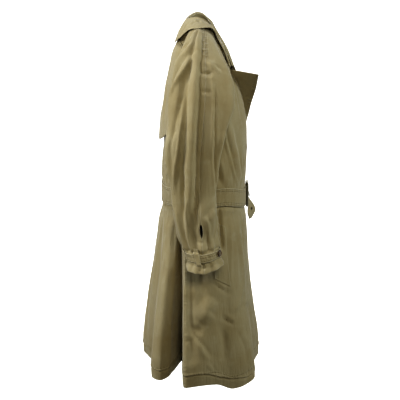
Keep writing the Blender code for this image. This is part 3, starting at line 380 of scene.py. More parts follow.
# %% Creases of the body: width mm, height mm, ridge beside, (angle, height) pairs
BODY_CREASES = [
    # right front above the belt
    (4, 5, .6, 62, -.215, 60, -.281, 55.5, -.329, 45, -.43),
    (3.6, 4.2, -.6, 54, -.32, 48, -.385, 39, -.436), (6, -3.9, .5, 74, -.3, 68, -.37, 62, -.44),
    (6, 2.3, .5, 34, -.33, 30, -.39, 29, -.44), (7, 2.6, .5, 36, -.095, 38, -.17, 37, -.24),
    (8, -2.3, .4, 49, -.06, 47, -.14, 50, -.215),
    # right front skirt
    (6.5, 3.2, .4, 42, -.5, 32, -.533, 29.5, -.57, 29, -.625, 39, -.67),
    (8, 3.2, -.5, 52, -.52, 56, -.622, 60, -.74), (10, 2.8, .4, 48, -.6, 50, -.69, 52, -.745),
    (6, 4, .5, 41, -.74, 49, -.773, 59, -.81),
    (4.6, -9, .3, 66, -.474, 65.8, -.515, 66.4, -.56, 67.4, -.618),
    (27, -7, 0, 92, -.64, 94, -.69, 98, -.735), (24, 14, 0, 80, -.762, 87, -.8, 93, -.83),
    (9, 1.5, 0, 111.7, -.63, 111.7, -.8, 111.6, -1.01),
    (11, -7.5, 0, 104.5, -.64, 104, -.69, 103, -.75, 101, -.86, 100, -.96),
    (6.5, -4.6, -.8, 103, -.851, 95, -.881, 87.5, -.918, 83, -.948),
    (8, -3.6, .5, 103, -.836, 98, -.848, 92, -.853), (10, -4, 0, 99, -.85, 95, -.858, 90, -.862),
    (5, 4.6, .8, 88, -.8, 82.5, -.815, 79, -.826), (4.5, -5, .8, 72, -.823, 66.5, -.831, 62, -.842),
    (4.5, -4.4, .7, 79, -.711, 74, -.724, 68.5, -.739, 59, -.753),
    (4.5, -4.6, .8, 52, -.792, 44, -.804, 26, -.836), (4, -3.4, .6, 63, -.82, 59, -.811, 54, -.806),
    (4.5, -2.2, .6, 111.5, -.76, 108, -.757, 105, -.755),
    (4.5, -2.6, .6, 111.5, -.884, 107, -.881, 101, -.886),
    (3, 3, .6, 89, -.958, 85, -.972, 82.5, -.994), (9, -3, .5, 60, -.86, 54, -.92, 52, -.985),
    (9, 3.4, -.5, 35, -.7, 31, -.8, 33, -.95), (11, -3.6, .5, 76, -.84, 72, -.89, 74, -.95),
    # right back, with the round front side of its flute
    (17, 10.4, 0, 127, -.56, 130, -.7, 131, -.88, 131, -1.08),
    (6.5, -3.9, .6, 124, -.31, 128, -.38, 133, -.445),
    (6, 3.4, .5, 152, -.33, 150, -.39, 148, -.445), (4.5, -2.9, .5, 165, -.36, 163, -.44),
    (7, 3.9, -.5, 121, -.52, 124, -.6, 129, -.7), (6, -3.6, .5, 146, -.515, 144, -.6, 142, -.7),
    (9, 2.9, .4, 133, -.64, 136, -.78, 137, -.96), (7, 3.1, .5, 158, -.52, 165, -.64, 168, -.78),
    (9, -3.1, .4, 172, -.7, 173, -.84, 170, -.98),
    # left back
    (6.5, -3.9, -.6, -127, -.31, -131, -.38, -137, -.445),
    (6, 3.1, -.5, -154, -.32, -151, -.39, -150, -.445), (4.5, -2.6, .5, -168, -.35, -166, -.44),
    (7, 3.9, .5, -120, -.52, -126, -.62, -131, -.74),
    (6, -3.4, -.5, -150, -.515, -146, -.62, -145, -.72),
    (7, 3.1, .4, -162, -.52, -166, -.66, -170, -.8),
    (9, -2.9, .4, -140, -.7, -139, -.83, -143, -.97),
    # left front
    (5.5, 3.9, -.6, -60, -.21, -56, -.31, -47, -.44),
    (4.5, 3.4, .6, -50, -.33, -44, -.39, -37, -.44), (6, -3.6, -.5, -76, -.3, -70, -.37, -66, -.44),
    (7, 2.6, -.5, -40, -.1, -41, -.18, -38, -.25), (6, 3.9, -.6, -44, -.515, -36, -.59, -39, -.69),
    (8, 3.1, .5, -58, -.52, -62, -.63, -66, -.76), (5, -3.6, .7, -98, -.85, -92, -.89, -84, -.95),
    (5, -3.4, -.8, -80, -.79, -73, -.806, -67, -.83),
    (4.5, -3.1, -.7, -58, -.84, -50, -.85, -42, -.872),
    (9, 3.1, .5, -34, -.7, -30, -.82, -33, -.96),
    (4, -2.3, -.6, -111, -.82, -104, -.824, -98, -.832),
]

# Pleats where the belt gathers the cloth: angle, length up, length down, mm
GATHERS = (
    (33, .05, 0, 2), (47, .07, .055, -2.2), (58, .045, .06, 2), (69, .06, .05, -2.4),
    (79, .05, .06, 1.8), (118, .06, .075, -2.2), (127, .075, .06, 2.2), (138, .05, .08, -2),
    (155, .065, .06, 2.2), (169, .05, .075, -1.8), (-176, .06, .065, 1.8), (-160, .055, .07, -2.2),
    (-143, .075, .06, 2.2), (-129, .05, .08, -2), (-116, .06, .06, 1.8), (-83, .055, .06, 1.8),
    (-70, .06, .055, -2.2), (-59, .05, .07, 2), (-45, .065, .05, -2), (-33, .045, .055, 1.8),
)
BELT_LINE = np.array([
    (0, -.494), (25, -.482), (65, -.457), (110, -.456), (150, -.468), (180, -.473),
])
BELT_WIDTH = 0.055


def belt_height(angle):
    """Height of the belt's middle line."""
    return curve(BELT_LINE, np.abs(wrap(angle)))


for angle, up, down, depth in GATHERS:
    lean = 2.4 * np.sign(np.sin(3.0 * angle))
    for way, length in ((1, up), (-1, down)):
        if length:
            start = float(belt_height(angle)) + way * BELT_WIDTH * 0.30
            BODY_CREASES.append((4.5, depth, 0.5 * way,
                                 angle, start, angle + way * lean, start + way * length))
print(len(BODY_CREASES), "creases on the body")


def body_relief(points, normals, angle, z):
    """Creases and unevenness of the body, pressed flat under the belt and
    drawn in along its lower edge."""
    off = z - belt_height(angle)
    height = relief(points, normals, BODY_CREASES, body_point) + unevenness(points)
    drawn_in = -3.5 * MM * bell(-off - BELT_WIDTH / 2, 0.004, 0.006)
    return height * ease(BELT_WIDTH * 0.42, BELT_WIDTH * 0.85, np.abs(off)) + drawn_in


def smooth_body(angle, z, rise):
    """Body surface without creases moved out by rise, for what is stiffer
    than the coat."""
    angle = wrap(angle)
    return raised(body_point(angle, z), body_normal(angle, z), rise)


def on_body(angle, z, rise):
    """Creased body surface moved out by rise, for what lies on a panel."""
    angle, z = np.broadcast_arrays(wrap(angle), z)
    points = body_point(angle, z)
    normals = body_normal(angle, z)
    return raised(raised(points, normals, body_relief(points, normals, angle, z)), normals, rise)


# %% [markdown]
# ## From a grid to a sewn wall
# A piece starts as a grid of points in the middle of the cloth.  Its wall is
# that grid moved out and in by half the thickness, with a third line of points
# round the edge that bulges, as folded cloth does.  Each point also stores its
# distance from the four cut edges, so that seams can be drawn by the material.

# %% Grid tools


def draw_in(points, edge, distance, over):
    """Moves one edge of a grid inward, square to that edge; the shift fades
    to nothing over so many rows or columns."""
    first, order = {"first_row": (0, 1), "last_row": (0, -1),
                    "first_col": (1, 1), "last_col": (1, -1)}[edge]
    view = points if first == 0 else points.swapaxes(0, 1)
    view = view[::order]
    tangent = unit(np.gradient(view[0], axis=0))
    shift = square_to(view[over] - view[0], tangent) * np.reshape(distance, (-1, 1))
    fade = 1 - np.arange(over) / over
    view[:over] += fade[:, None, None] * shift[None]


def grid_normals(points, like=None):
    """Cross product of the row and column steps, turned to the side of like."""
    normals = unit(np.cross(np.gradient(points, axis=0), np.gradient(points, axis=1)))
    if like is None:
        return normals
    dot = (normals * like).sum(-1, keepdims=True)
    normals = np.where(dot < 0, -normals, normals)
    return np.where(np.abs(dot) < 0.25, like, normals)


def run_length(points, axis):
    """Distance from the first line of the grid, measured along the other."""
    steps = np.linalg.norm(np.diff(points, axis=axis), axis=-1)
    return np.cumsum(np.insert(steps, 0, 0, axis=axis), axis=axis)


def outward(points, normals):
    """For the points round the edge: unit vector out of the piece."""
    out = np.zeros_like(points)
    out[0] += unit(points[0] - points[1])
    out[-1] += unit(points[-1] - points[-2])
    out[:, 0] += unit(points[:, 0] - points[:, 1])
    out[:, -1] += unit(points[:, -1] - points[:, -2])
    return square_to(out, normals)


def perimeter(ids):
    """Ids round the edge of a grid, once, in one direction."""
    return np.concatenate([ids[0, :-1], ids[:-1, -1], ids[-1, :0:-1], ids[:0:-1, 0]])


# %% Sewing a wall
PIECES = {}
STITCHED = {}       # rows of stitches of each finish


def mesh_object(name, verts, faces, *materials):
    """A mesh object with smooth faces."""
    mesh = bpy.data.meshes.new(name)
    mesh.from_pydata(np.asarray(verts, float).reshape(-1, 3).tolist(), [], [list(f) for f in faces])
    mesh.update()
    mesh.shade_smooth()
    for material in materials:
        mesh.materials.append(material)
    return add_to_scene(bpy.data.objects.new(name, mesh))


def new_object(name, verts, faces, *materials):
    """A mesh object that rides on the coat."""
    obj = mesh_object(name, verts, faces, *materials)
    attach(obj, "root")
    return obj


def wall_faces(ids, shift, rim, flip):
    """Quads of the outer skin, the inner skin and the two strips of the rim."""
    outer = np.stack([ids[:-1, :-1], ids[1:, :-1], ids[1:, 1:], ids[:-1, 1:]], -1).reshape(-1, 4)
    inner = outer[:, ::-1] + shift
    edge = perimeter(ids)
    after = np.roll(edge, -1)
    rim_after = np.roll(rim, -1)
    strips = np.vstack([np.stack([edge, after, rim_after, rim], 1),
                        np.stack([rim, rim_after, after + shift, edge + shift], 1)])
    faces = np.vstack([outer, inner, strips])
    return (faces[:, ::-1] if flip else faces), len(outer)


def punch(ids, faces, hole, shift, flip):
    """Which faces stay when a hole goes through the wall at one grid point,
    and the quads of the tunnel between the two rings that are left."""
    row, col = hole
    kept = ~np.isin(faces, (ids[row, col], ids[row, col] + shift)).any(1)
    ring = perimeter(ids[row - 1:row + 2, col - 1:col + 2])
    after = np.roll(ring, -1)
    tunnel = np.stack([after, ring, ring + shift, after + shift], 1)
    return kept, (tunnel[:, ::-1] if flip else tunnel)


def drop_loose(mesh):
    """Takes away the vertices that no face uses."""
    work = bmesh.new()
    work.from_mesh(mesh)
    bmesh.ops.delete(work, geom=[v for v in work.verts if not v.link_faces], context="VERTS")
    work.to_mesh(mesh)
    work.free()


def sew(node, points, normals, thickness, outside, inside, held="stretched", faced=0, hole=None):
    """Closed cloth wall on a grid, with a bulging rim, in the place of a solid.
    Stores UVs in metres, and side_gap and end_gap, the distances from the four
    edges.  The inside of the first faced columns is a facing of the outer
    cloth.  A hole is the row and column of a grid point that is cut out of the
    wall.  If it is held in some way, the widest width, the longest length and
    the area of the grid are printed as its cut."""
    name = node + "_cloth"
    rows, cols = points.shape[:2]
    ids = np.arange(rows * cols).reshape(rows, cols)
    half = thickness / 2
    edge = perimeter(ids)
    rim = np.arange(len(edge)) + 2 * rows * cols
    bulge = points + outward(points, normals) * half * 0.8
    skins = [points + normals * half, points - normals * half]
    verts = np.vstack([np.reshape(skins, (-1, 3)), bulge.reshape(-1, 3)[edge]])
    facing = np.cross(points[1:, :-1] - points[:-1, :-1], points[:-1, 1:] - points[:-1, :-1])
    flip = (facing * normals[:-1, :-1]).sum() < 0
    faces, skin = wall_faces(ids, rows * cols, rim, flip)
    index = np.zeros(len(faces), int)
    index[skin:2 * skin] = np.tile(np.arange(cols - 1) >= faced, rows - 1)
    if hole:
        kept, tunnel = punch(ids, faces, hole, rows * cols, flip)
        faces = np.vstack([faces[kept], tunnel])
        index = np.append(index[kept], np.zeros(len(tunnel), int))
    obj = new_object(name, verts, faces, outside, inside)
    mesh = obj.data
    mesh.polygons.foreach_set("material_index", index)
    across = run_length(points, 1)
    upward = run_length(points, 0)
    gaps = np.stack([across, across[:, -1:] - across, upward, upward[-1:] - upward], -1)
    gaps = gaps.reshape(-1, 4)
    gaps = np.vstack([gaps, gaps, gaps[edge]])
    for word, first in (("side_gap", 0), ("end_gap", 2)):
        data = np.zeros((len(gaps), 3), np.float32)
        data[:, :2] = gaps[:, first:first + 2]
        mesh.attributes.new(word, "FLOAT_VECTOR", "POINT").data.foreach_set("vector", data.ravel())
    corner = np.zeros(len(mesh.loops), int)
    mesh.loops.foreach_get("vertex_index", corner)
    uv = mesh.uv_layers.new(name="cloth")
    uv.data.foreach_set("uv", gaps[corner][:, (0, 2)].astype(np.float32).ravel())
    PIECES[name] = (points, normals, thickness, outside.name)
    if hole:
        drop_loose(mesh)
    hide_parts(node)
    if held:
        flat = (round(float(across[:, -1].max()), 3), round(float(upward[-1].max()), 3))
        area = min(np.linalg.norm(facing, axis=-1).sum(), flat[0] * flat[1])
        print("%-20s cut %.3f x %.3f m, %.4f m2" % (name, *flat, area))


# %% [markdown]
# ## Shader maths as plain sums
# A finish is a network of nodes.  `Signal` stands for one value that varies
# over a surface, so that a pattern can be written as a formula.

# %% Finish and Signal


class Signal:
    """The output of a node; + - * on it add Math nodes."""

    def __init__(self, finish, socket):
        self.finish = finish
        self.socket = socket

    def maths(self, operation, *others):
        return self.finish.node("Math", {"operation": operation}, dict(enumerate((self, *others))))

    def __add__(self, other):
        return self.maths("ADD", other)

    def __sub__(self, other):
        return self.maths("SUBTRACT", other)

    def __mul__(self, other):
        return self.maths("MULTIPLY", other)

    def __rsub__(self, other):
        return self.finish.node("Math", {"operation": "SUBTRACT"}, {0: other, 1: self})

    __radd__ = __add__

    def within(self, low, high):
        """Smooth step: 0 below low, 1 above high."""
        return self.finish.node("MapRange", {"interpolation_type": "SMOOTHSTEP"},
                                {"Value": self, "From Min": low, "From Max": high})

    def bell(self, middle, width):
        """exp(-((x - middle) / width) squared)"""
        off = (self - middle) * (1 / width)
        return (off * off * -1.0).maths("EXPONENT")


class Finish:
    """A material with a Principled shader and a short way to add nodes."""

    def __init__(self, name, roughness, **constants):
        self.material = bpy.data.materials.new(name)
        self.material.use_nodes = True
        self.tree = self.material.node_tree
        self.shader = self.tree.nodes["Principled BSDF"]
        self.shader.inputs["Roughness"].default_value = roughness
        for word, value in constants.items():
            socket = word.replace("_", " ").title().replace("Ior", "IOR")
            self.shader.inputs[socket].default_value = value

    def node(self, kind, settings=None, inputs=None, output=0):
        node = self.tree.nodes.new("ShaderNode" + kind)
        for word, value in (settings or {}).items():
            setattr(node, word, value)
        for socket, value in (inputs or {}).items():
            if isinstance(value, Signal):
                self.tree.links.new(value.socket, node.inputs[socket])
            else:
                node.inputs[socket].default_value = value
        return Signal(self, node.outputs[output])

    def noise(self, where, scale, detail=2.0, rough=0.5):
        return self.node("TexNoise", {}, {"Vector": where, "Scale": scale, "Detail": detail,
                                          "Roughness": rough})

    def part(self, vector, name):
        """X, Y or Z of a vector."""
        return self.node("SeparateXYZ", {}, {"Vector": vector}, output="XYZ".index(name))

    def vector(self, x, y):
        return self.node("CombineXYZ", {}, {0: x, 1: y})

    def mix(self, share, *colours):
        """Colour between two colours."""
        first, second = ((*c, 1) if isinstance(c, tuple) else c for c in colours)
        return self.node("Mix", {"data_type": "RGBA"}, {0: share, 6: first, 7: second}, output=2)

    def place(self):
        """The point's own place, in metres."""
        return self.node("TexCoord", output=3)

    def feed(self, socket, signal):
        self.tree.links.new(signal.socket, self.shader.inputs[socket])

    def raise_by(self, height):
        """Bump from a height in metres."""
        bumped = self.node("Bump", {}, {"Height": height, "Distance": 1.0, "Strength": 1.0})
        self.feed("Normal", bumped)


# %% [markdown]
# ## Gabardine
# Gabardine is a tight cotton twill: fine diagonal ribs, matt, with a faint
# sheen at grazing angles.  A garment that is washed and worn also has cloudy
# variation and pale worn edges, and a row of stitches pulls a small groove with
# puckers beside it.  The groove's colour is darkened as painted shade and the
# pucker crests are lightened as painted highlight.  Where a piece has rows of
# stitching, its finish gets the rows' distances from the cut edges.

# %% Colours
KHAKI = (0.360, 0.313, 0.201)
KHAKI_BROWN = (0.308, 0.251, 0.138)
KHAKI_PALE = (0.525, 0.485, 0.362)
# near-black painted shade for the inside faces of the hollow coat
PAINTED_SHADE_INSIDE_COLOUR = (0.060, 0.048, 0.026)
TWILL_PITCH = 1.3 * MM
ROW_WIDTH = 1.1 * MM
PUCKER_WIDTH = 7 * MM
WHOLE_ROW = 9.0             # metres, longer than any row of stitches

# %% The cloth finish


def gabardine(name, rows=(), until=WHOLE_ROW, pull=1.0):
    """Twill cloth.  rows holds (edge, distance in mm): edge is left, right,
    low or high for the first or last column or row of the piece's grid.
    Rows of stitches, with the painted shade in their grooves and the painted
    highlight on their pucker crests, fade out further than so many metres from
    the low edge; pull is how strongly they pucker the cloth and how much painted
    highlight the crests get."""
    cloth = Finish(name, 0.78, sheen_weight=0.20, sheen_roughness=0.45, specular_ior_level=0.26)
    uv = cloth.node("UVMap", {"uv_map": "cloth"})
    u = cloth.part(uv, "X")
    v = cloth.part(uv, "Y")
    place = cloth.place()
    side = cloth.node("Attribute", {"attribute_name": "side_gap"}, output=1)
    end = cloth.node("Attribute", {"attribute_name": "end_gap"}, output=1)
    gap = {"left": cloth.part(side, "X"), "right": cloth.part(side, "Y"),
           "low": cloth.part(end, "X"), "high": cloth.part(end, "Y")}

    rib = ((u * 0.45 + v * 0.89) * (2 * pi / TWILL_PITCH)).maths("SINE")
    grain = cloth.noise(uv, 900.0, 2.0)
    slub = cloth.noise(cloth.vector(u * 60.0, v * 900.0), 1.0, 2.0)
    cloud = cloth.noise(place, 9.0, 3.0, 0.6)
    soft = cloth.noise(place, 34.0, 3.0, 0.55)
    hang = cloth.noise(cloth.node("VectorMath", {"operation": "MULTIPLY"},
                                  {0: place, 1: (62.0, 62.0, 5.0)}), 1.0, 2.0)
    along_v = cloth.noise(cloth.vector(v * 150.0, u * 22.0), 1.0, 1.0)
    along_u = cloth.noise(cloth.vector(u * 150.0, v * 22.0), 1.0, 1.0)

    groove_and_shade = None
    pucker_and_highlight = None
    for edge, distance in rows:
        line = gap[edge].bell(distance * MM, ROW_WIDTH)
        near = gap[edge].bell(distance * MM, PUCKER_WIDTH)
        ripple = (along_v if edge in ("left", "right") else along_u) - 0.5
        groove_and_shade = line if groove_and_shade is None else groove_and_shade.maths("MAXIMUM", line)
        pucker_and_highlight = near * ripple if pucker_and_highlight is None else pucker_and_highlight + near * ripple
    if rows and until < WHOLE_ROW:
        shown = 1.0 - gap["low"].within(until, until + 0.05)
        groove_and_shade = groove_and_shade * shown
        pucker_and_highlight = pucker_and_highlight * shown
    nearest = gap["left"]
    for edge in ("right", "low", "high"):
        nearest = nearest.maths("MINIMUM", gap[edge])
    worn = 1.0 - nearest.within(0.3 * MM, 2.6 * MM)

    colour = cloth.mix(cloud.within(0.32, 0.72) * 0.75, KHAKI, KHAKI_BROWN)
    colour = cloth.mix(soft.within(0.52, 0.80) * 0.22, colour, KHAKI_PALE)
    colour = cloth.mix(grain.within(0.3, 0.8) * 0.16, colour, KHAKI_BROWN)
    colour = cloth.mix(worn * 0.35, colour, KHAKI_PALE)
    height = rib * 0.000035 + grain * 0.00016 + slub * 0.00010 + soft * 0.0010 + hang * 0.0022
    if groove_and_shade is not None:
        # Painted shade: the colour darkens along each row of stitches, where its groove lies in
        # shade.
        colour = cloth.mix(groove_and_shade * 0.45, colour, tuple(0.55 * c for c in KHAKI_BROWN))
        # Painted highlight: the raised pucker crests beside the row are lightened towards
        # KHAKI_PALE.
        colour = cloth.mix(pucker_and_highlight.within(0.02, 0.32) * (0.5 * pull), colour, KHAKI_PALE)
        height = height - groove_and_shade * 0.0008 + pucker_and_highlight * (0.0048 * pull)
    cloth.feed("Base Color", colour)
    cloth.feed("Roughness", 0.70 + grain * 0.16)
    cloth.raise_by(height)
    STITCHED[cloth.material.name] = (rows, until)
    return cloth.material


# Inside faces of the coat: near-black painted shade, standing in for the deep shadow inside the
# hollow coat, with a faint grain.
painted_shade_inside = Finish("cloth_inside", 0.88, sheen_weight=0.1)
back_grain = painted_shade_inside.noise(painted_shade_inside.place(), 420.0, 2.0)
painted_shade_inside.feed("Base Color", painted_shade_inside.mix(back_grain, PAINTED_SHADE_INSIDE_COLOUR, (0.085, 0.068, 0.038)))
painted_shade_inside.raise_by(back_grain * 0.0003)
PAINTED_SHADE_INSIDE_FINISH = painted_shade_inside.material

FRONT_CLOTH = gabardine("gabardine_front", (("left", 3), ("left", 9), ("right", 4), ("low", 42)),
                        pull=0.6)
BACK_CLOTH = gabardine("gabardine_back", (("right", 4), ("low", 42)), pull=0.6)
SLEEVE_FRONT_CLOTH = gabardine("gabardine_sleeve_front", (("right", 2), ("right", 7)), 0.135, 0.9)
SLEEVE_BACK_CLOTH = gabardine("gabardine_sleeve_back", (("right", 2), ("right", 6)), 0.135, 0.9)
COLLAR_CLOTH = gabardine("gabardine_collar", (("high", 4), ("high", 10)), pull=1.5)
PLAIN_CLOTH = gabardine("gabardine_plain")
EDGED_CLOTH = gabardine("gabardine_edged", (("low", 3), ("low", 9), ("left", 4), ("right", 4)))
BELT_CLOTH = gabardine("gabardine_belt", (("low", 3), ("low", 9), ("high", 3), ("high", 9)),
                       pull=0.5)
STRAP_CLOTH = gabardine("gabardine_strap", (("low", 3), ("high", 3), ("low", 10)), pull=0.4)
WELT_CLOTH = gabardine("gabardine_welt", (("left", 3), ("left", 9), ("right", 3)), pull=0.4)
print("cloth finishes made")

# %% [markdown]
# ## Fronts and backs
# A front runs from its free edge to the side seam.  Above the break its edge
# strip turns outward and becomes the lapel.  The right lapel stands half open,
# the left one is folded flat over the chest.  Each panel is a patch of the
# body's surface whose grid follows the seams.

# %% Tables of the panels
FINE = 5                    # steps across a panel for one step of its solid
FINE_UP = 9                 # and steps upward
LEVEL_ROWS = (-1.035, -1.018, -1.003, -0.985, -0.920, -0.850, -0.775, -0.700, -0.630, -0.580,
              -0.550, -0.522, -0.495, -0.465, -0.425, -0.385, -0.342, -0.300)
UPPER_ROWS = 7
SEAM_STEPS = 14
NECK_COLUMNS = 4
PANEL_COLUMNS = (NECK_COLUMNS + SEAM_STEPS) * FINE
LEVEL_SHARE = (len(LEVEL_ROWS) - 1) / (len(LEVEL_ROWS) - 1 + UPPER_ROWS)
NECK_GAP = 1.4 * MM
LAPEL_WIDTH = 0.0885
LAPEL_FOOT = 0.008
FRONT_STRIP = 0.014
FRONT_RADIUS = 0.040
UNDERLAP = 6.5 * MM
LAPEL_DROOP = 0.12
# side: (free edge as height and angle, break height, degrees the lapel turns)
FRONTS = {
    1: (np.array([(-1.035, -20), (-.475, -26), (-.36, -18), (-.262, -9), (-.205, 1), (-.145, 16),
                  (-.088, 33)]), -0.262, 92.0),
    -1: (np.array([(-1.035, 20), (-.475, 25), (-.36, 15), (-.27, 6), (-.22, -1), (-.16, -17),
                   (-.114, -31)]), -0.178, 158.0),
}
# place from the neck (0) to the underarm (1), angle, height
RAGLAN_FRONT = np.array([
    (0, 56, 0), (.2, 56, -.05), (.4, 57, -.1), (.6, 61, -.15), (.8, 73, -.203), (1, *UNDERARM),
])
RAGLAN_BACK = np.array([
    (0, 128, .014), (.2, 127, -.03), (.4, 125, -.08), (.6, 121, -.14), (.8, 114, -.2),
    (1, *UNDERARM),
])
RAGLAN_GAP = 0.4 * MM

# %% Panel grids


def near_top(rows):
    """0 in the top row of a grid and 1 from ten rows below it: creases end
    before the raglan seam."""
    return ease(0, 10, np.arange(rows)[::-1])[:, None]


def edge_heights(top_z):
    """Heights of a panel's rows along an edge that ends at top_z."""
    share = 1 - (1 - np.linspace(0, 1, UPPER_ROWS + 1)[1:]) ** 1.25
    return refine(np.concatenate([LEVEL_ROWS, lerp(LEVEL_ROWS[-1], top_z, share)]), FINE_UP)


def steps_by_length(path, count, low, high):
    """Parameters that cut path(parameter) into equal lengths."""
    fine = np.linspace(low, high, 400)
    length = run_length(path(fine), 0)
    return np.interp(np.linspace(0, length[-1], count + 1), length, fine)


def panel_map(bottom, top, left, right, level):
    """Straight rows from the left to the right edge; the bottom edge's spacing
    fades out upward and the top edge's shape comes in above the level rows."""
    c = np.linspace(0, 1, len(bottom))[None, :, None]
    w = np.linspace(0, 1, len(left))[:, None, None]
    straight = lerp(left[:, None, :], right[:, None, :], c)
    low = bottom[None] - lerp(bottom[0], bottom[-1], c[0])[None]
    high = top[None] - lerp(top[0], top[-1], c[0])[None]
    return straight + (1 - w) * low + np.clip((w - level) / (1 - level), 0, 1) * high


def hem_row(first, last):
    """Bottom edge of a panel, in equal steps along the hem."""
    angles = steps_by_length(lambda a: body_point(a, HEM_Z), PANEL_COLUMNS, first, last)
    return np.stack([angles, np.full(len(angles), HEM_Z)], 1)


def side_edge(side):
    """A panel's edge along the side seam, from the hem to the underarm."""
    heights = edge_heights(UNDERARM[1])
    return np.stack([side * side_seam(heights), heights], 1)


def hem_turn(angle, z):
    """The turned hem: the cloth stands proud down to a waving line, drops
    sharply there and comes back over the last centimetre."""
    off = z - curve(HEM_TURN, angle)
    above = bell(np.maximum(off, 0), 0, 0.0070) * ease(-0.0016, 0.0010, off)
    below = bell(np.maximum(-off, 0), 0, 0.0060) * ease(0.0010, -0.0016, off)
    return MM * (1.9 * above - 2.2 * below)


def laid_panel(left, right, top, fade=1.0, underlap=0.0):
    """Points and normals of a panel on the body between its edges, with its
    creases, its turned hem and what a left front gives way to the right."""
    grid = panel_map(hem_row(left[0, 0], right[0, 0]), top, left, right, LEVEL_SHARE)
    angle, z = grid[..., 0], grid[..., 1]
    points = body_point(angle, z)
    normals = body_normal(angle, z)
    height = body_relief(points, normals, angle, z) * fade * near_top(len(left))
    height = height + hem_turn(angle, z)
    height = height - underlap * ease(-38, -28, angle) * ease(-0.165, -0.205, z)
    return raised(points, normals, height), normals


def lapel_strip(points, normals, zs, side):
    """Columns beyond the roll line: flat below the break, above it turned
    outward and as wide as the lapel, a little hollow across."""
    edge, break_z, turn_degrees = FRONTS[side]
    gorge_z = edge[-1, 0]
    out = unit(points[:, 0] - points[:, FINE])
    normal = normals[:, 0]
    rise = np.clip((zs - break_z) / (gorge_z - break_z), 0, 1)
    width = lerp(LAPEL_FOOT, LAPEL_WIDTH, rise ** 1.65)
    width = width + (FRONT_STRIP - LAPEL_FOOT) * ease(break_z - 0.010, break_z - 0.080, zs)
    turned = ease(break_z - 0.035, break_z + 0.045, zs)[:, None]
    turn = turned * np.radians(turn_degrees)
    level = unit(normal * (1, 1, 0))
    across = out * np.concatenate([np.ones_like(turned), np.ones_like(turned), 1 - turned], 1)
    droop = turned * LAPEL_DROOP * np.array([0, 0, 1])
    way = unit(np.cos(turn) * across + np.sin(turn) * level - droop)
    share = np.linspace(1, 0, 3 * FINE + 1)[:-1]
    roll = 0.10 * turned[:, None] * (share * (1 - share))[None, :, None]
    reach = width[:, None] * share[None, :]
    sink = (1 - turned) * reach ** 2 / (2 * FRONT_RADIUS)
    strip = (points[:, :1] + reach[..., None] * way[:, None, :]
             + roll * width[:, None, None] * level[:, None, :]
             - sink[..., None] * normal[:, None, :])
    both = np.concatenate([strip, points[:, :2]], 1)
    return strip, side * grid_normals(both)[:, :-2]


def front_grid(side):
    """Mid-surface of a front with its lapel; side is +1 for the right one."""
    edge = FRONTS[side][0]
    zs = edge_heights(edge[-1, 0])
    left = np.stack([curve(edge, zs), zs], 1)
    share = np.linspace(0, 1, NECK_COLUMNS * FINE + 1)[:, None]
    neck = lerp(left[-1], RAGLAN_FRONT[0, 1:] * (side, 1), share)
    seam = curve(RAGLAN_FRONT, np.linspace(0, 1, SEAM_STEPS * FINE + 1)) * (side, 1)
    fade = ease(0, 0.06, np.linspace(0, 1, PANEL_COLUMNS + 1))
    points, normals = laid_panel(left, side_edge(side), np.vstack([neck[:-1], seam]), fade,
                                 UNDERLAP * (side < 0))
    draw_in(points, "last_col", SEAM / 2, FINE)
    gap = np.repeat((NECK_GAP, RAGLAN_GAP), (NECK_COLUMNS * FINE, len(seam)))
    draw_in(points, "last_row", gap, FINE_UP)
    strip, strip_normals = lapel_strip(points, normals, zs, side)
    points = np.concatenate([strip, points], 1)
    return points, grid_normals(points, np.concatenate([strip_normals, normals], 1))


def back_grid(side):
    """Mid-surface of a back half, from the side seam to the centre back."""
    back_z = edge_heights(NECK_BACK_Z)
    right = np.stack([np.full(len(back_z), side * 180.0), back_z], 1)
    seam = curve(RAGLAN_BACK, np.linspace(1, 0, SEAM_STEPS * FINE + 1)) * (side, 1)
    share = np.linspace(0, 1, NECK_COLUMNS * FINE + 1)[1:, None]
    top = np.vstack([seam, lerp(seam[-1], right[-1], share)])
    points, normals = laid_panel(side_edge(side), right, top)
    for edge in ("first_col", "last_col"):
        draw_in(points, edge, SEAM / 2, FINE)
    gap = np.repeat((RAGLAN_GAP, NECK_GAP), (len(seam), NECK_COLUMNS * FINE))
    draw_in(points, "last_row", gap, FINE_UP)
    return points, grid_normals(points, normals)


# %% Sew the four panels
for side, word in SIDES:
    sew("front_" + word, *front_grid(side), CLOTH, FRONT_CLOTH, PAINTED_SHADE_INSIDE_FINISH, "hung", faced=7 * FINE)
    sew("back_" + word, *back_grid(side), CLOTH, BACK_CLOTH, PAINTED_SHADE_INSIDE_FINISH, "hung")

# %% [markdown]
# ## Raglan sleeves
# A raglan sleeve starts at the neck.  Its place runs from 0 at the neck over 1
# at the underarm to 2 at the cuff; its turn from -1 at the underarm seam over
# the front and 0 at the overarm seam to +1 over the back.  Up to the underarm
# each row is an arc between the two raglan seams, below it a whole ring.

# %% Tables of the sleeve
# place, x, y, z of the overarm seam
OVERARM = np.array([
    (0, -.08, 0, .038), (.25, -.134, -.01, .027), (.5, -.193, -.013, -.008),
    (.7, -.237, -.016, -.07), (.85, -.263, -.014, -.145), (1, -.28, -.008, -.228),
    (1.25, -.29, 0, -.325), (1.5, -.3, 0, -.425), (1.75, -.314, -.005, -.532),
    (1.88, -.323, -.009, -.584), (2, -.332, -.013, -.632),
])
# place, x, y, z of the underarm seam below the underarm point
UNDERSLEEVE = np.array([
    (1.06, -.203, .031, -.268), (1.25, -.209, .026, -.33), (1.5, -.213, .018, -.425),
    (1.75, -.224, 0, -.53), (1.88, -.231, -.006, -.582), (2, -.235, -.012, -.63),
])
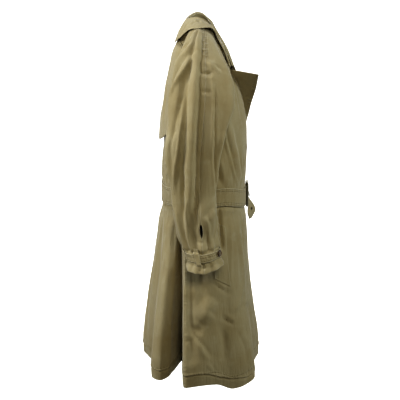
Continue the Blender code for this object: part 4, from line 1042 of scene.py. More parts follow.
# place, forward, backward, outward share, upward share, roundness, front lift
BULGE = np.array([
    (0, .01, .01, .2, .9, 0, 0), (.25, .02, .028, .35, .8, .15, 0), (.5, .04, .045, .4, .5, .45, 0),
    (.7, .062, .062, .3, .2, .75, 0), (.85, .076, .077, .35, .06, .95, 0),
    (1, .082, .084, .35, 0, 1, 0), (1.25, .068, .088, .25, 0, 1, 0), (1.5, .054, .073, .1, 0, 1, 0),
    (1.75, .05, .068, 0, 0, 1, .003), (1.86, .049, .054, 0, 0, 1, .008),
    (1.9, .046, .047, 0, 0, 1, .01), (1.95, .048, .046, 0, 0, 1, .012),
    (2, .051, .048, 0, 0, 1, .015),
])
# start place and turn, end place and turn, half width, depth
SLEEVE_FOLDS = (
    (.16, .1, .72, .62, .012, .0075), (.2, .26, .7, .8, .013, -.008),
    (.36, .08, .9, .52, .014, .008), (.5, .32, 1.35, .34, .014, .002),
    (.6, -.26, 1.45, -.22, .012, -.006), (1.4, .44, 1.8, .28, .012, .005),
    (1.2, .62, 1.55, .5, .012, -.006),
)
# The long ridge behind the overarm seam: place, turn of its crest, strength
LONG_RIDGE = np.array([
    (.22, .06, 0), (.4, .085, .5), (.62, .115, .9), (.75, .125, 1.1), (.85, .115, 1.2),
    (.97, .105, 1.2), (1.13, .09, 1.1), (1.32, .088, 1.1), (1.5, .12, 1), (1.64, .14, .6),
    (1.8, .14, 0),
])
# its section: turn from the crest, height in mm
RIDGE_SECTION = np.array([
    (-.3, 0), (-.19, .6), (-.13, .2), (-.098, -3.8), (-.078, -5.8), (-.06, -4.6), (-.035, 1),
    (-.01, 7.6), (.004, 9.2), (.022, 8.6), (.046, 6.2), (.066, 2.4), (.082, -3.8), (.094, -5.8),
    (.108, -5), (.14, -1.2), (.2, 0),
])
# width mm, height mm, ridge beside, (place, turn) pairs
SLEEVE_CREASES = (
    (7, 6, .3, .3, .16, .4, .19, .478, .23, .54, .31, .57, .43, .62, .54),
    (6, -6, .4, .36, .28, .417, .37, .44, .47, .465, .56),
    (6.5, -7, .2, .57, .25, .615, .33, .65, .42, .69, .5, .76, .58),
    (4.6, 7, 0, .58, .17, .642, .25, .688, .3, .725, .36, .765, .44, .83, .56),
    (8.5, -8, 0, .65, .21, .765, .275, .838, .275, .95, .285),
    (3.6, 3.2, -.5, .24, .09, .38, .13, .56, .15),
    (2.8, 4, 0, .8, .27, .97, .255, 1.13, .25, 1.28, .26),
    (7, -6.2, 0, .82, .3, .97, .34, 1.13, .36, 1.32, .33),
    (2.8, -5, 0, 1.24, .19, 1.333, .178, 1.46, .195), (9, 5, 0, .63, .03, .66, -.07, .66, -.17),
    (6, -7, -.25, .7, .075, .723, -.02, .708, -.12),
    (5, -4.6, -.2, .808, .06, .818, -.03, .812, -.08), (4.5, -3.8, -.6, .655, -.12, .68, -.26),
    (3.6, -5, -.6, .62, -.11, .875, -.13, .97, -.14, 1.133, -.19, 1.323, -.28, 1.49, -.38),
    (4, 5.5, .5, .96, .265, 1.167, .25, 1.28, .28, 1.45, .35),
    (3.6, -6, .4, 1.46, .195, 1.573, .2, 1.7, .19),
    (3.4, -6.2, -.5, 1.33, .05, 1.37, .04, 1.43, .05, 1.495, .02, 1.575, .05, 1.66, .05),
    (9, -5, .5, 1.545, -.24, 1.575, -.15, 1.62, -.06),
    (4.5, 4, .5, 1.56, -.2, 1.66, -.38, 1.76, -.31, 1.85, -.3),
    (5, 5.5, .6, 1.5, .17, 1.66, .19, 1.79, .19, 1.86, .17),
    (5, -5, 0, 1.58, .11, 1.68, .12, 1.8, .11), (5.5, 4.5, -.5, 1.56, .33, 1.68, .31, 1.82, .28),
    (3, -3, -.5, 1.77, .06, 1.785, .02, 1.775, -.04),
    (5, 3.5, .5, 1.6, -.06, 1.66, -.12, 1.8, -.16), (8, -3.8, .4, 1.1, -.45, 1.3, -.5, 1.5, -.48),
    (6, 3.8, .5, 1.45, -.62, 1.6, -.55, 1.78, -.58), (8, -5, .4, .8, .72, .95, .66, 1.15, .7),
    (7, 3.8, .4, 1.2, .8, 1.45, .72, 1.7, .76), (6, -4.2, .5, 1.02, -.8, 1.12, -.7, 1.26, -.66),
    (5, -3.2, .7, 1.28, .42, 1.31, .56, 1.3, .7), (8, -3.2, .5, .4, -.3, .55, -.42, .68, -.6),
    (3, -1.5, -.6, .2, -.08, .45, -.1, .62, -.09),
    (3.4, -9, 0, 1.936, .19, 1.94, .3, 1.94, .42, 1.936, .56),
    (2.8, -8, 0, 1.93, .018, 1.948, .01, 1.966, 0),
)
# pleats that the cuff strap gathers: turn, height mm
CUFF_PLEATS = (
    (.85, 1.3), (.7, -1.6), (.55, 2.6), (.43, -3.2), (.33, 3.2), (.24, -3.6), (.165, 3.4),
    (.09, -3.2), (.01, 3), (-.12, -4.2), (-.21, 2.8), (-.3, -3), (-.4, 3.2), (-.52, -2.6),
    (-.66, 1.6), (-.8, -1.4),
)
OVERARM_GAP = 0.4 * MM
UNDERARM_GAP = 0.7 * MM
STRAP_PLACES = (1.866, 1.922)
SLIT = (1.655, 1.752)       # the overarm seam is left open here
SLIT_WIDTH = 4.6 * MM
SLEEVE_FINE = 8
ARM_ROWS = (1.07, 1.17, 1.28, 1.40, 1.52, 1.64, 1.75, 1.84, 1.90, 1.95, 2.00)

# %% The sleeve as a surface


def off_seam(turn, half=1):
    """Puts points on the overarm seam into one of the two halves."""
    return np.where(turn == 0, half * 1e-6, turn)


def sleeve_point(place, turn, side):
    """Arc or ring between the seams: base line plus a sine bulge."""
    place, turn = np.broadcast_arrays(np.asarray(place, float), np.asarray(turn, float))
    over = curve(OVERARM, place)
    seam = np.where((turn > 0)[..., None], curve(RAGLAN_BACK, place), curve(RAGLAN_FRONT, place))
    arm = on_side(body_point(side * seam[..., 0], seam[..., 1]), side)
    corner = on_side(body_point(side * UNDERARM[0], UNDERARM[1]), side)
    below = curve(np.vstack([[1.0, *corner], UNDERSLEEVE]), place)
    under = np.where((place < 1)[..., None], arm, below)
    forward, backward, sideways, upward, roundness, lift = np.moveaxis(curve(BULGE, place), -1, 0)
    share = 1 - np.abs(turn)
    mix = lerp(share, (1 - np.cos(pi * share)) / 2, roundness)
    amount = np.where(turn > 0, backward, forward)
    way = unit(np.stack([-sideways, np.sign(turn + 1e-9) * (1 - 0.5 * upward), upward], -1))
    points = lerp(under, over, mix[..., None]) + (amount * np.sin(pi * share))[..., None] * way
    points[..., 2] += np.where(turn < 0, lift * np.sin(pi * share), 0)
    return on_side(points, side)


def sleeve_normal(place, turn, side):
    """Outward normal of a sleeve: central differences, clear of its edges."""
    step = 0.01
    round_arm = (sleeve_point(place, np.clip(turn + step, -1, 1), side)
                 - sleeve_point(place, np.clip(turn - step, -1, 1), side))
    down = (sleeve_point(np.clip(place + step, 0, 2), turn, side)
            - sleeve_point(np.clip(place - step, 0, 2), turn, side))
    return side * unit(np.cross(round_arm, down))


def sleeve_large_folds(place, turn):
    """The sleeve's large folds, on the cloth laid flat."""
    girth = 0.14
    length = 0.33
    total = np.zeros(place.shape)
    for p0, t0, p1, t1, width, depth in SLEEVE_FOLDS:
        line = np.array([(p1 - p0) * length, (t1 - t0) * girth])
        here = np.stack([(place - p0) * length, (turn - t0) * girth], -1)
        along = (here @ line) / (line @ line)
        across = (here[..., 0] * line[1] - here[..., 1] * line[0]) / np.linalg.norm(line)
        total += depth * np.sin(pi * np.clip(along, 0, 1)) ** 0.8 * bell(across, 0, width)
    crest, strength = np.moveaxis(curve(LONG_RIDGE, place), -1, 0)
    section = curve(RIDGE_SECTION * (1, MM), turn - crest)
    return total * (1 - np.abs(2 * np.abs(turn) - 1) ** 6) + strength * section


def cuff_gathers(place, turn):
    """Pleats above and below the strap, none under it."""
    total = sum(depth * MM * bell(turn, middle, 0.038) for middle, depth in CUFF_PLEATS)
    low, high = STRAP_PLACES
    above = ease(low - 0.21, low - 0.04, place) * ease(low + 0.002, low - 0.014, place)
    below = ease(high, high + 0.02, place)
    return total * (1.3 * above + 0.6 * below)


def cuff_pinch(place):
    """The cloth is drawn in along both edges of the strap and flares below."""
    low, high = STRAP_PLACES
    return MM * (-4.0 * bell(place - low, -0.012, 0.012) - 6.0 * bell(place - high, 0.013, 0.012)
                 + 5.0 * ease(high + 0.018, 2.0, place))


def forearm(place, turn):
    """The outer face bellies out below the elbow and is hollow above the
    cuff; the front edge of the sleeve is drawn back a little."""
    outer = 6.0 * bell(place, 1.600, 0.070) - 7.0 * bell(place, 1.765, 0.055)
    front = 4.5 * bell(turn, -0.62, 0.20) * bell(place, 1.700, 0.110)
    return MM * (bell(turn, -0.12, 0.28) * outer - front)


def sleeve_surface(place, turn, side):
    """Sleeve with large folds, creases and pleats: points and normals."""
    points = sleeve_point(place, turn, side)
    normals = sleeve_normal(place, turn, side)
    sway = 0.0 if side > 0 else 0.05
    height = relief(points, normals, SLEEVE_CREASES,
                    lambda p, t: sleeve_point(p + 0.3 * sway, off_seam(t) + sway, side))
    low, high = STRAP_PLACES
    flat = ease(low - 0.02, low - 0.005, place) * ease(high + 0.02, high + 0.005, place)
    seam = ease(0, 0.09, 1 - np.abs(turn))
    height = (height + unevenness(points) + cuff_gathers(place, turn)) * seam * (1 - flat)
    height = height + sleeve_large_folds(place, turn) + cuff_pinch(place) + forearm(place, turn)
    return raised(points, normals, height), normals


def soften(points, weight, times):
    """Moves each point towards the mean of its neighbours above and below."""
    for _ in range(times):
        middle = (points[:-2] + points[2:]) / 2
        points[1:-1] = lerp(points[1:-1], middle, 0.5 * weight[1:-1, :, None])


def sleeve_grid(side, half):
    """Mid-surface of one half of a sleeve; half is +1 for the back."""
    place = refine(np.concatenate([np.linspace(0, 1, SEAM_STEPS + 1), ARM_ROWS]), SLEEVE_FINE)
    turn = np.linspace(1, 0, 7 * SLEEVE_FINE + 1)
    p, t = np.meshgrid(place, half * (0.55 * turn + 0.45 * turn ** 2), indexing="ij")
    t = off_seam(t, half)
    points, normals = sleeve_surface(p, t, side)
    underarm = bell(p, 1.0, 0.10) * ease(0.01, 0.12, 1 - np.abs(t)) * ease(0.35, 0.6, np.abs(t))
    soften(points, underarm, 60)
    draw_in(points, "last_col", OVERARM_GAP + SLIT_WIDTH * bump(*SLIT, place) ** 0.5, SLEEVE_FINE)
    draw_in(points, "first_col", np.where(place <= 1, RAGLAN_GAP, UNDERARM_GAP), SLEEVE_FINE)
    draw_in(points, "first_row", SEAM, SLEEVE_FINE)
    return points, grid_normals(points, normals)


# %% Sew the sleeves
for side, word in SIDES:
    for half, part, finish in ((-1, "front", SLEEVE_FRONT_CLOTH), (1, "back", SLEEVE_BACK_CLOTH)):
        sew("sleeve_%s_%s" % (part, word), *sleeve_grid(side, half), CLOTH, finish, PAINTED_SHADE_INSIDE_FINISH)

# %% [markdown]
# ## Collar
# A coat collar has a stand round the neck and a leaf that falls from its fold
# line.  Both are worked out for the right half from one table along the neck,
# mirrored, and the left half set a little higher.

# %% The collar's lines
# place, x, y, z of the fold line, and x, y, z of the leaf's fall
COLLAR = np.array([
    (0, 0, .04, .051, 0, .035, -.067), (.12, -.028, .038, .053, -.012, .035, -.064),
    (.25, -.052, .029, .057, -.03, .032, -.055), (.38, -.068, .011, .061, -.048, .018, -.03),
    (.5, -.075, -.005, .058, -.056, .001, -.022), (.62, -.076, -.025, .044, -.046, -.012, -.012),
    (.74, -.076, -.044, .018, -.032, -.008, -.016), (.87, -.078, -.068, -.025, -.02, -.005, -.014),
    (1, -.084, -.087, -.081, -.011, -.003, -.007),
])
COLLAR_LIFT = 0.007
LEFT_COLLAR_SHIFT = np.array([0.0, -0.018, -0.024])
NECK_STATIONS = (0.0, 0.25, 0.50, 0.70, 1.0)
FOLD_RADIUS = 3.0 * MM
LEAF_THICK = 2.4 * MM
LEAF_END = 0.980
STAND_INSET = 2.8 * MM
LEAF_INSET = 3.4 * MM
STAND_TUCK = 3.6 * MM
STAND_END = 0.8 * MM
COLLAR_FINE = 6


def neck_point(place, side):
    """Neck seam along the cut edges of the back, sleeve and front."""
    back, raglan_b, shoulder, raglan_f, gorge = NECK_STATIONS
    edge = FRONTS[side][0]
    seams = (back, raglan_b, raglan_f, gorge)
    angle = np.interp(
        place, seams, (180, RAGLAN_BACK[0, 1], RAGLAN_FRONT[0, 1], side * edge[-1, 1]))
    z = np.interp(place, seams, (NECK_BACK_Z, RAGLAN_BACK[0, 2], RAGLAN_FRONT[0, 2], edge[-1, 0]))
    turn = np.interp(place, (raglan_b, shoulder, raglan_f), (1, 1e-6, -1))
    cap = (place > raglan_b) & (place <= raglan_f)
    return np.where(cap[:, None], sleeve_point(0.0, turn, side), body_point(side * angle, z))


def collar_lines(place, side):
    """Fold line, fall of the leaf and level outward way, for one half."""
    rows = curve(COLLAR, place)
    fold = on_side(rows[:, :3], side)
    fall = on_side(rows[:, 3:], side)
    if side < 0:
        lift = bell(place, 0.45, 0.22)
        forward = ease(0.60, 1.0, place)[:, None]
        fold = fold + lift[:, None] * (0, 0, COLLAR_LIFT) + forward * LEFT_COLLAR_SHIFT
        fall = fall * (1 - 0.6 * forward)
    return fold, fall, unit(fold * (1, 1, 0) - np.array([0, -0.012, 0]))


def both_halves(make, place):
    """Joins the right half, gorge to centre back, and the left half."""
    return np.concatenate([make(place[::-1], 1), make(place[1:], -1)], 1)


def stand_half(place, side):
    """Straight from the neck seam, a little inside it, to the leaf's roll."""
    neck = neck_point(place, side)
    fold, _, away = collar_lines(place, side)
    tuck = STAND_TUCK * bell(place, NECK_STATIONS[3], 0.07)
    neck = neck - away * (STAND_INSET + tuck)[:, None]
    top = fold - away * (FOLD_RADIUS + LEAF_INSET) - np.array([0, 0, FOLD_RADIUS])
    share = np.linspace(0, 1, 2 * COLLAR_FINE + 1)[:, None, None]
    return lerp(neck[None], top[None], share)


def leaf_half(place, side):
    """Half circle over the fold line, then the fall with a soft crown."""
    fold, fall, away = collar_lines(place, side)
    up = np.array([0, 0, 1])
    turn = np.linspace(0, 1, 9)[:, None, None]
    roll = fold[None] - FOLD_RADIUS * up + FOLD_RADIUS * (
        -np.cos(pi * turn) * away[None] + np.sin(pi * turn) * up)
    share = np.linspace(0, 1, 4 * COLLAR_FINE + 1)[1:, None, None]
    crown = 2.4 * MM * np.sin(pi * share)
    leaf = lerp(roll[-1][None], (fold + fall)[None], share) + crown * (away[None] + up)
    return np.concatenate([roll, leaf])


# width mm, height mm, ridge beside, then pairs: share of the length from the
# right gorge, share of the height
LEAF_CREASES = (
    (4, 2.6, .5, .24, .42, .29, .6, .31, .82), (3.5, -2.4, .6, .33, .4, .37, .62),
    (3.5, -1.8, .5, .2, .5, .18, .8), (2.6, -2.2, .7, .26, .36, .24, .62),
    (2.6, -2.2, .7, .3, .38, .285, .56), (2.8, 2, .6, .345, .55, .36, .8),
    (3.2, 2, .5, .4, .4, .405, .66), (6, -2, .4, .44, .45, .43, .85),
    (6, 2, .4, .57, .45, .58, .85), (3.4, -2, .5, .64, .4, .63, .66),
    (4, -2.2, .5, .7, .42, .68, .7), (3.4, 2, -.5, .77, .45, .79, .75),
)


def creased(points, normals, rows, fade=1.0, also=0.0):
    """A grid with creases whose paths are shares of its columns and rows."""
    last_row, last_col = np.array(points.shape[:2]) - 1

    def at(column, row):
        return points[(row * last_row).round().astype(int), (column * last_col).round().astype(int)]

    return raised(points, normals, (relief(points, normals, rows, at) + also) * fade)


# %% Sew the collar
coarse = np.linspace(0, LEAF_END, 15)
place = refine(coarse[:-1], COLLAR_FINE)
stand = both_halves(stand_half, place)
for edge in ("first_row", "last_row"):
    draw_in(stand, edge, STAND_END, COLLAR_FINE)
seam_way = unit(np.gradient(stand, axis=1))
away = both_halves(lambda p, side: collar_lines(p, side)[2][None], place)
sew("collar_stand", stand, square_to(away, seam_way), CLOTH, PLAIN_CLOTH, PLAIN_CLOTH)

leaf = both_halves(leaf_half, refine(coarse, COLLAR_FINE))
fade = ease(0.20, 0.45, np.linspace(0, 1, len(leaf)))[:, None]
leaf = creased(leaf, grid_normals(leaf), LEAF_CREASES, fade, 0.5 * unevenness(leaf))
sew("collar_leaf", leaf, grid_normals(leaf), LEAF_THICK, COLLAR_CLOTH, PLAIN_CLOTH)

# %% [markdown]
# ## Storm flap, belt and belt loops
# These lie on the panels and are moved out by the cloth under them.  The
# storm flap is worked out from the creased body surface; the belt and its
# loops from the smooth one, the belt with creases of its own.

# %% Storm flap
FLAP_LAY = 1.2 * MM
FLAP_SIDE = (-0.024, -0.216)        # top and foot beside the sleeves
FLAP_MIDDLE = (NECK_BACK_Z - 0.012, -0.306)
FLAP_LIFT = (3 * MM, 13 * MM)       # how far its lower edge stands off, sides and middle


def storm_flap_grid(rows, columns):
    """From raglan seam to raglan seam over the back, standing off a little
    more towards its curved lower edge."""
    c = np.linspace(0, 1, columns + 1)[None, :]
    w = np.linspace(0, 1, rows + 1)[:, None]
    side_z = lerp(*FLAP_SIDE, w)
    side_angle = curve(RAGLAN_BACK[:, [2, 1]] * (-1, 1), -side_z) + lerp(3, 8, w * w)
    z = lerp(side_z, lerp(*FLAP_MIDDLE, w), 1 - np.abs(2 * c - 1) ** 2.2)
    angle = lerp(side_angle, 360 - side_angle, c)
    lift = w ** 1.6 * lerp(*FLAP_LIFT, np.sin(pi * c) ** 0.7)
    return on_body(angle, z, CLOTH + FLAP_LAY + lift)


# crease tables from here on: width mm, height mm, ridge beside, pairs of shares
FLAP_CREASES = (
    (8, 2.6, .5, .3, .35, .27, .7, .24, 1), (9, -2.2, .4, .5, .3, .52, .65, .49, 1),
    (8, 2.4, -.5, .72, .3, .76, .7, .79, 1), (6, -1.8, .4, .12, .4, .1, .7, .09, 1),
    (6, -1.8, -.4, .88, .45, .9, .95),
)
flap = storm_flap_grid(70, 130)
fade = ease(0.15, 0.5, np.linspace(0, 1, len(flap)))[:, None]
flap = creased(flap, -grid_normals(flap), FLAP_CREASES, fade)
sew("storm_flap", flap, -grid_normals(flap), CLOTH, EDGED_CLOTH, PAINTED_SHADE_INSIDE_FINISH, "hung")

# %% Belt
BELT_THICK = 3.0 * MM
BELT_LAY = 1.1 * MM
BELT_RISE = CLOTH / 2 + BELT_LAY + BELT_THICK / 2
BELT_FACE = BELT_RISE + BELT_THICK / 2
BELT_JOIN = -14.0
BELT_CREASES = (
    (5, .7, .5, .2, .05, .205, .95), (4, -.6, .5, .3, .1, .29, .9), (6, .7, .4, .46, 0, .47, .8),
    (5, -.6, .4, .62, .1, .61, 1), (5, .6, .5, .78, .1, .79, .9), (4, .6, .4, .1, .2, .11, 1),
    (7, -.7, .3, .14, .5, .26, .46), (7, -.6, .3, .36, .5, .5, .55),
)
angle = np.linspace(BELT_JOIN + 0.3, BELT_JOIN + 359.7, 433)[None, :]
z = belt_height(angle) + np.linspace(-0.5, 0.5, 27)[:, None] * BELT_WIDTH
belt = smooth_body(np.broadcast_to(angle, z.shape), z, BELT_RISE)
belt = creased(belt, grid_normals(belt), BELT_CREASES)
sew("belt", belt, grid_normals(belt), BELT_THICK, BELT_CLOTH, PLAIN_CLOTH)

# %% Loops at the side seams
LOOP_ANGLE = 96.0
LOOP_HALF_ANGLE = 1.7
LOOP_HALF_HEIGHT = 0.038
LOOP_THICK = 1.6 * MM
for side, word in SIDES:
    along = np.linspace(-1, 1, 61)[:, None]
    angle = side * LOOP_ANGLE + np.linspace(-LOOP_HALF_ANGLE, LOOP_HALF_ANGLE, 13)[None, :]
    z = belt_height(side * LOOP_ANGLE) + along * LOOP_HALF_HEIGHT
    rise = lerp(CLOTH + LAY, BELT_FACE + LAY + CLOTH / 2, ease(1.0, 0.80, np.abs(along)))
    loop = smooth_body(*np.broadcast_arrays(angle, z, rise))
    sew("belt_loop_" + word, loop, side * grid_normals(loop), LOOP_THICK, STRAP_CLOTH, PLAIN_CLOTH,
        held=None)

# %% [markdown]
# ## Turned shapes: buttons, eyelet, buckle
# A button is a disc turned on a lathe: rounded rim, dished middle and four
# sunk holes with thread across them.  The buckle is a covered bar bent to a
# frame.

# %% Finishes
horn_finish = Finish("horn", 0.40, specular_ior_level=0.28)
streak = horn_finish.noise(horn_finish.place(), 160.0, 3.0)
horn_finish.feed("Base Color", horn_finish.mix(streak.within(0.35, 0.7), (0.034, 0.018, 0.008),
                                               (0.105, 0.055, 0.020)))
horn_finish.feed("Roughness", 0.32 + streak * 0.2)
HORN = horn_finish.material

leather_finish = Finish("leather", 0.46, specular_ior_level=0.45)
place = leather_finish.place()
pores = leather_finish.node("TexVoronoi", {}, {"Vector": place, "Scale": 1100.0})
grain = leather_finish.noise(place, 60.0)
leather_finish.feed("Base Color", leather_finish.mix(grain, (0.042, 0.038, 0.020),
                                                     (0.090, 0.080, 0.044)))
leather_finish.raise_by(pores * 0.0002)
LEATHER = leather_finish.material

thread_finish = Finish("thread", 0.62, sheen_weight=0.2)
ply = thread_finish.noise(thread_finish.place(), 700.0, 1.0)
thread_finish.feed("Base Color", thread_finish.mix(ply, (0.300, 0.240, 0.110),
                                                   (0.430, 0.360, 0.190)))
THREAD = thread_finish.material

# %% Lathe and tube
BUTTON_THICK = 4.0 * MM
# shares of the radius and of the thickness
BUTTON_BACK = ((0.30, 0), (0.75, 0))
BUTTON_DISH = ((0.80, 0.98), (0.74, 0.90), (0.68, 0.76), (0.60, 0.70), (0.40, 0.66), (0.15, 0.65))


def frame_of(normal):
    """Two unit vectors square to a normal, the second as upright as can be."""
    side = unit(np.cross(np.array([0, 0, 1.0]), normal))
    return side, unit(np.cross(normal, side))


def ring_quads(ids):
    """Quads between the rows of a grid of ids, each row closed on itself."""
    after = np.roll(ids, -1, 1)
    return np.stack([ids[:-1], after[:-1], after[1:], ids[1:]], -1).reshape(-1, 4).tolist()


def lathe(profile, sides):
    """Vertices and faces of a profile of (radius, height) turned about Z."""
    turn = np.linspace(0, 2 * pi, sides, endpoint=False)
    radius, height = np.array(profile).T[:, :, None]
    verts = np.stack([radius * np.cos(turn), radius * np.sin(turn), height + 0 * turn], -1)
    verts = verts.reshape(-1, 3)
    ids = np.arange(len(verts)).reshape(len(profile), sides)
    return verts, ring_quads(ids) + [ids[0, ::-1].tolist(), ids[-1].tolist()]


def tube(path, radius, sides, closed=False):
    """A round bar along a path of points."""
    path = np.asarray(path, float)
    radius = np.broadcast_to(radius, (len(path),))
    way = unit(np.roll(path, -1, 0) - np.roll(path, 1, 0) if closed else np.gradient(path, axis=0))
    first = unit(np.cross(way, np.array([0.03, -1.0, 0.05])))
    second = np.cross(way, first)
    turn = np.linspace(0, 2 * pi, sides, endpoint=False)[None, :, None]
    spokes = np.cos(turn) * first[:, None] + np.sin(turn) * second[:, None]
    verts = (path[:, None] + radius[:, None, None] * spokes).reshape(-1, 3)
    ids = np.arange(len(path) * sides).reshape(len(path), sides)
    if closed:
        return verts, ring_quads(np.vstack([ids, ids[:1]]))
    return verts, ring_quads(ids) + [ids[0, ::-1].tolist(), ids[-1].tolist()]


def joined(parts):
    """Several pairs of vertices and faces as one."""
    faces = []
    start = 0
    for verts, part_faces in parts:
        faces += [[i + start for i in face] for face in part_faces]
        start += len(verts)
    return np.vstack([verts for verts, _ in parts]), faces


def button_profile(radius):
    """Half section: flat back, round rim, a step down and a shallow dish."""
    t = BUTTON_THICK
    a = np.linspace(-pi / 2, pi / 2, 9)
    rim = np.stack([radius - 0.48 * t + 0.48 * t * np.cos(a), t / 2 + 0.5 * t * np.sin(a)], 1)
    back, dish = np.array(BUTTON_BACK), np.array(BUTTON_DISH)
    return np.vstack([back * (radius, t), rim, dish * (radius, t)])


def sew_button(name, point, normal, radius):
    """Button with four holes and crossed thread, standing on the cloth."""
    side, up = frame_of(normal)
    turned = np.stack([side, up, normal], 1)

    def stand(word, verts, faces, material):
        return new_object(name + word, verts @ turned.T + point, faces, material)

    disc = stand("_disc", *lathe(button_profile(radius), 56), HORN)
    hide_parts(name)
    hole = radius * 0.17
    rim, rim_faces = lathe([(hole * 0.80, 0.0), (hole * 1.25, 0.22 * MM), (hole * 1.45, 0.0)], 18)
    floor, floor_faces = lathe([(hole * 0.4, 0.02 * MM), (hole * 1.05, 0.05 * MM)], 18)
    corners = ((1, 1), (-1, 1), (-1, -1), (1, -1))
    spots = [np.array([*(np.array(corner) * radius * 0.27), 2.66 * MM]) for corner in corners]
    holes = []
    for spot in spots:
        holes += [(rim + spot, rim_faces[:-2]), (floor + spot, floor_faces[:-2] + floor_faces[-1:])]
    t = np.linspace(0, 1, 9)[:, None]
    arch = np.sin(pi * t) * np.array([0, 0, 0.75 * MM])
    threads = [tube(lerp(spots[first], spots[second], t) + arch, 0.42 * MM, 8)
               for first, second in ((0, 2), (1, 3), (0, 1), (2, 3))]
    # The rims and floors of the four holes are near black: painted shade in the holes.
    stand("_holes", *joined(holes), HOLE_PAINTED_SHADE)
    stand("_thread", *joined(threads), THREAD)


# Near-black painted shade for the button holes.
HOLE_PAINTED_SHADE = Finish("dark_hole", 0.6, base_color=(0.010, 0.007, 0.005, 1)).material

# %% Front buttons
BUTTON_HEIGHTS = (-0.345, -0.430, -0.585, -0.705, -0.825)
BUTTON_RADIUS = 12.5 * MM
BUTTON_INSET = 0.028
BUTTON_LAY = 0.7 * MM
for number, z in enumerate(BUTTON_HEIGHTS, 1):
    angles = np.linspace(0, -60, 121)
    edge_x = body_point(float(curve(FRONTS[1][0], z)), z)[0] + FRONT_STRIP
    xs = body_point(angles, np.full(len(angles), z))[:, 0]
    angle = float(np.interp(edge_x - BUTTON_INSET, xs, angles))
    normal = body_normal(angle, z)
    point = raised(body_point(angle, z), normal, CLOTH / 2 + BUTTON_LAY)
    sew_button("front_button_%d" % number, point, normal, BUTTON_RADIUS)

# %% Buckle and tongue
BUCKLE_X = 0.014
BUCKLE_HALF = (0.026, 0.036)
BUCKLE_BAR = 3.6 * MM
TONGUE_BAR = 1.8 * MM
CORNER = 0.009
face = smooth_body(np.zeros(1), BELT_LINE[:1, 1], BELT_FACE)[0]
BUCKLE_Y = face[1] - 0.7 * MM - BUCKLE_BAR
BUCKLE_Z = BELT_LINE[0, 1] + 0.002
path = []
for cx, cz, start in ((1, 1, 0), (-1, 1, 90), (-1, -1, 180), (1, -1, 270)):
    for a in np.radians(np.linspace(start, start + 90, 13)):
        path.append((BUCKLE_X + cx * (BUCKLE_HALF[0] - CORNER) + CORNER * np.cos(a), BUCKLE_Y,
                     BUCKLE_Z + cz * (BUCKLE_HALF[1] - CORNER) + CORNER * np.sin(a)))
buckle = new_object("belt_buckle_frame", *tube(path, BUCKLE_BAR, 24, closed=True), LEATHER)
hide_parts("belt_buckle")
front = BUCKLE_Y - BUCKLE_BAR - TONGUE_BAR - LAY
t = np.linspace(-1, 1, 25)
path = np.stack([
    BUCKLE_X + BUCKLE_HALF[0] * t, front - 1.0 * MM * (1 - t * t), BUCKLE_Z + 0 * t], 1)
thinner = TONGUE_BAR * (1 - 0.35 * ease(0.4, 1.0, t))
tongue = new_object("buckle_tongue_bar", *tube(path, thinner, 16), LEATHER)
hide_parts("buckle_tongue")

# %% Belt tail with its eyelet
TAIL_AT = (0.040, -0.1546, -0.5245)
TAIL_LENGTH = 0.066
TAIL_WIDTH = 0.046
EYELET = 3.6 * MM
EYELET_AT = row, col = (35, 21)     # on the tail's grid
TAIL_THICK = 2.6 * MM
along = np.linspace(0, 1, 71)[:, None]
across = np.linspace(-0.5, 0.5, 43)[None, :]
taper = lerp(1.0, 0.30, np.clip((along - 0.70) / 0.30, 0, 1))
turn = np.radians(lerp(6, 34, ease(0, 0.6, along)))
x = TAIL_AT[0] + across * taper * TAIL_WIDTH * np.cos(turn)
y = TAIL_AT[1] - 0.012 * np.sin(pi * 0.75 * along) - across * taper * TAIL_WIDTH * np.sin(turn)
z = TAIL_AT[2] - TAIL_LENGTH * (along - 0.1) + 0 * across
tail = np.stack(np.broadcast_arrays(x, y, z), -1)
middle = tail[EYELET_AT].copy()
off = tail - middle
distance = np.linalg.norm(off, axis=-1, keepdims=True)
tail = tail + unit(off) * (EYELET * bell(distance, 0, 1.3 * EYELET)) * (distance > 1e-6)
tail_normals = grid_normals(tail)
tail_normals = tail_normals * np.sign(-tail_normals[row, col - 1, 1])
tail_normals[EYELET_AT] = tail_normals[row, col - 3]
sew("belt_tail", tail, tail_normals, TAIL_THICK, STRAP_CLOTH, PLAIN_CLOTH, "hung", hole=EYELET_AT)

# %% The eyelet's rim
normal = tail_normals[EYELET_AT]
side, up = frame_of(normal)
turn = np.linspace(0, 2 * pi, 28, endpoint=False)[:, None]
circle = middle + (EYELET + 1.0 * MM) * (np.cos(turn) * side + np.sin(turn) * up)
for rise in (1.5, -1.5):
    rim = tube(circle + rise * MM * normal, 0.9 * MM, 10, closed=True)
    new_object("tail_eyelet_rim", *rim, LEATHER)

# %% Pocket welts
WELT_THICK = 1.6 * MM
WELT_LAY = 0.9 * MM
# angle and height of the front and the back corner
WELT_TOP = np.array([(62, -0.548), (77, -0.520)])
WELT_FOOT = np.array([(61, -0.730), (76, -0.702)])
c = np.linspace(0, 1, 41)[None, :, None]
w = np.linspace(0, 1, 121)[:, None, None]
angle, z = np.moveaxis(lerp(lerp(*WELT_TOP, c), lerp(*WELT_FOOT, c), w), -1, 0)
for side, word in SIDES:
    welt = on_body(side * angle, z, CLOTH / 2 + WELT_LAY + WELT_THICK / 2)
    sew("pocket_welt_" + word, welt, side * grid_normals(welt), WELT_THICK, WELT_CLOTH, PLAIN_CLOTH)

# %% [markdown]
# ## Cuff straps
# A strap runs round each cuff from the underarm seam over the back to a
# pointed tip in front.  A loop near the overarm seam holds it and a button
# closes it.

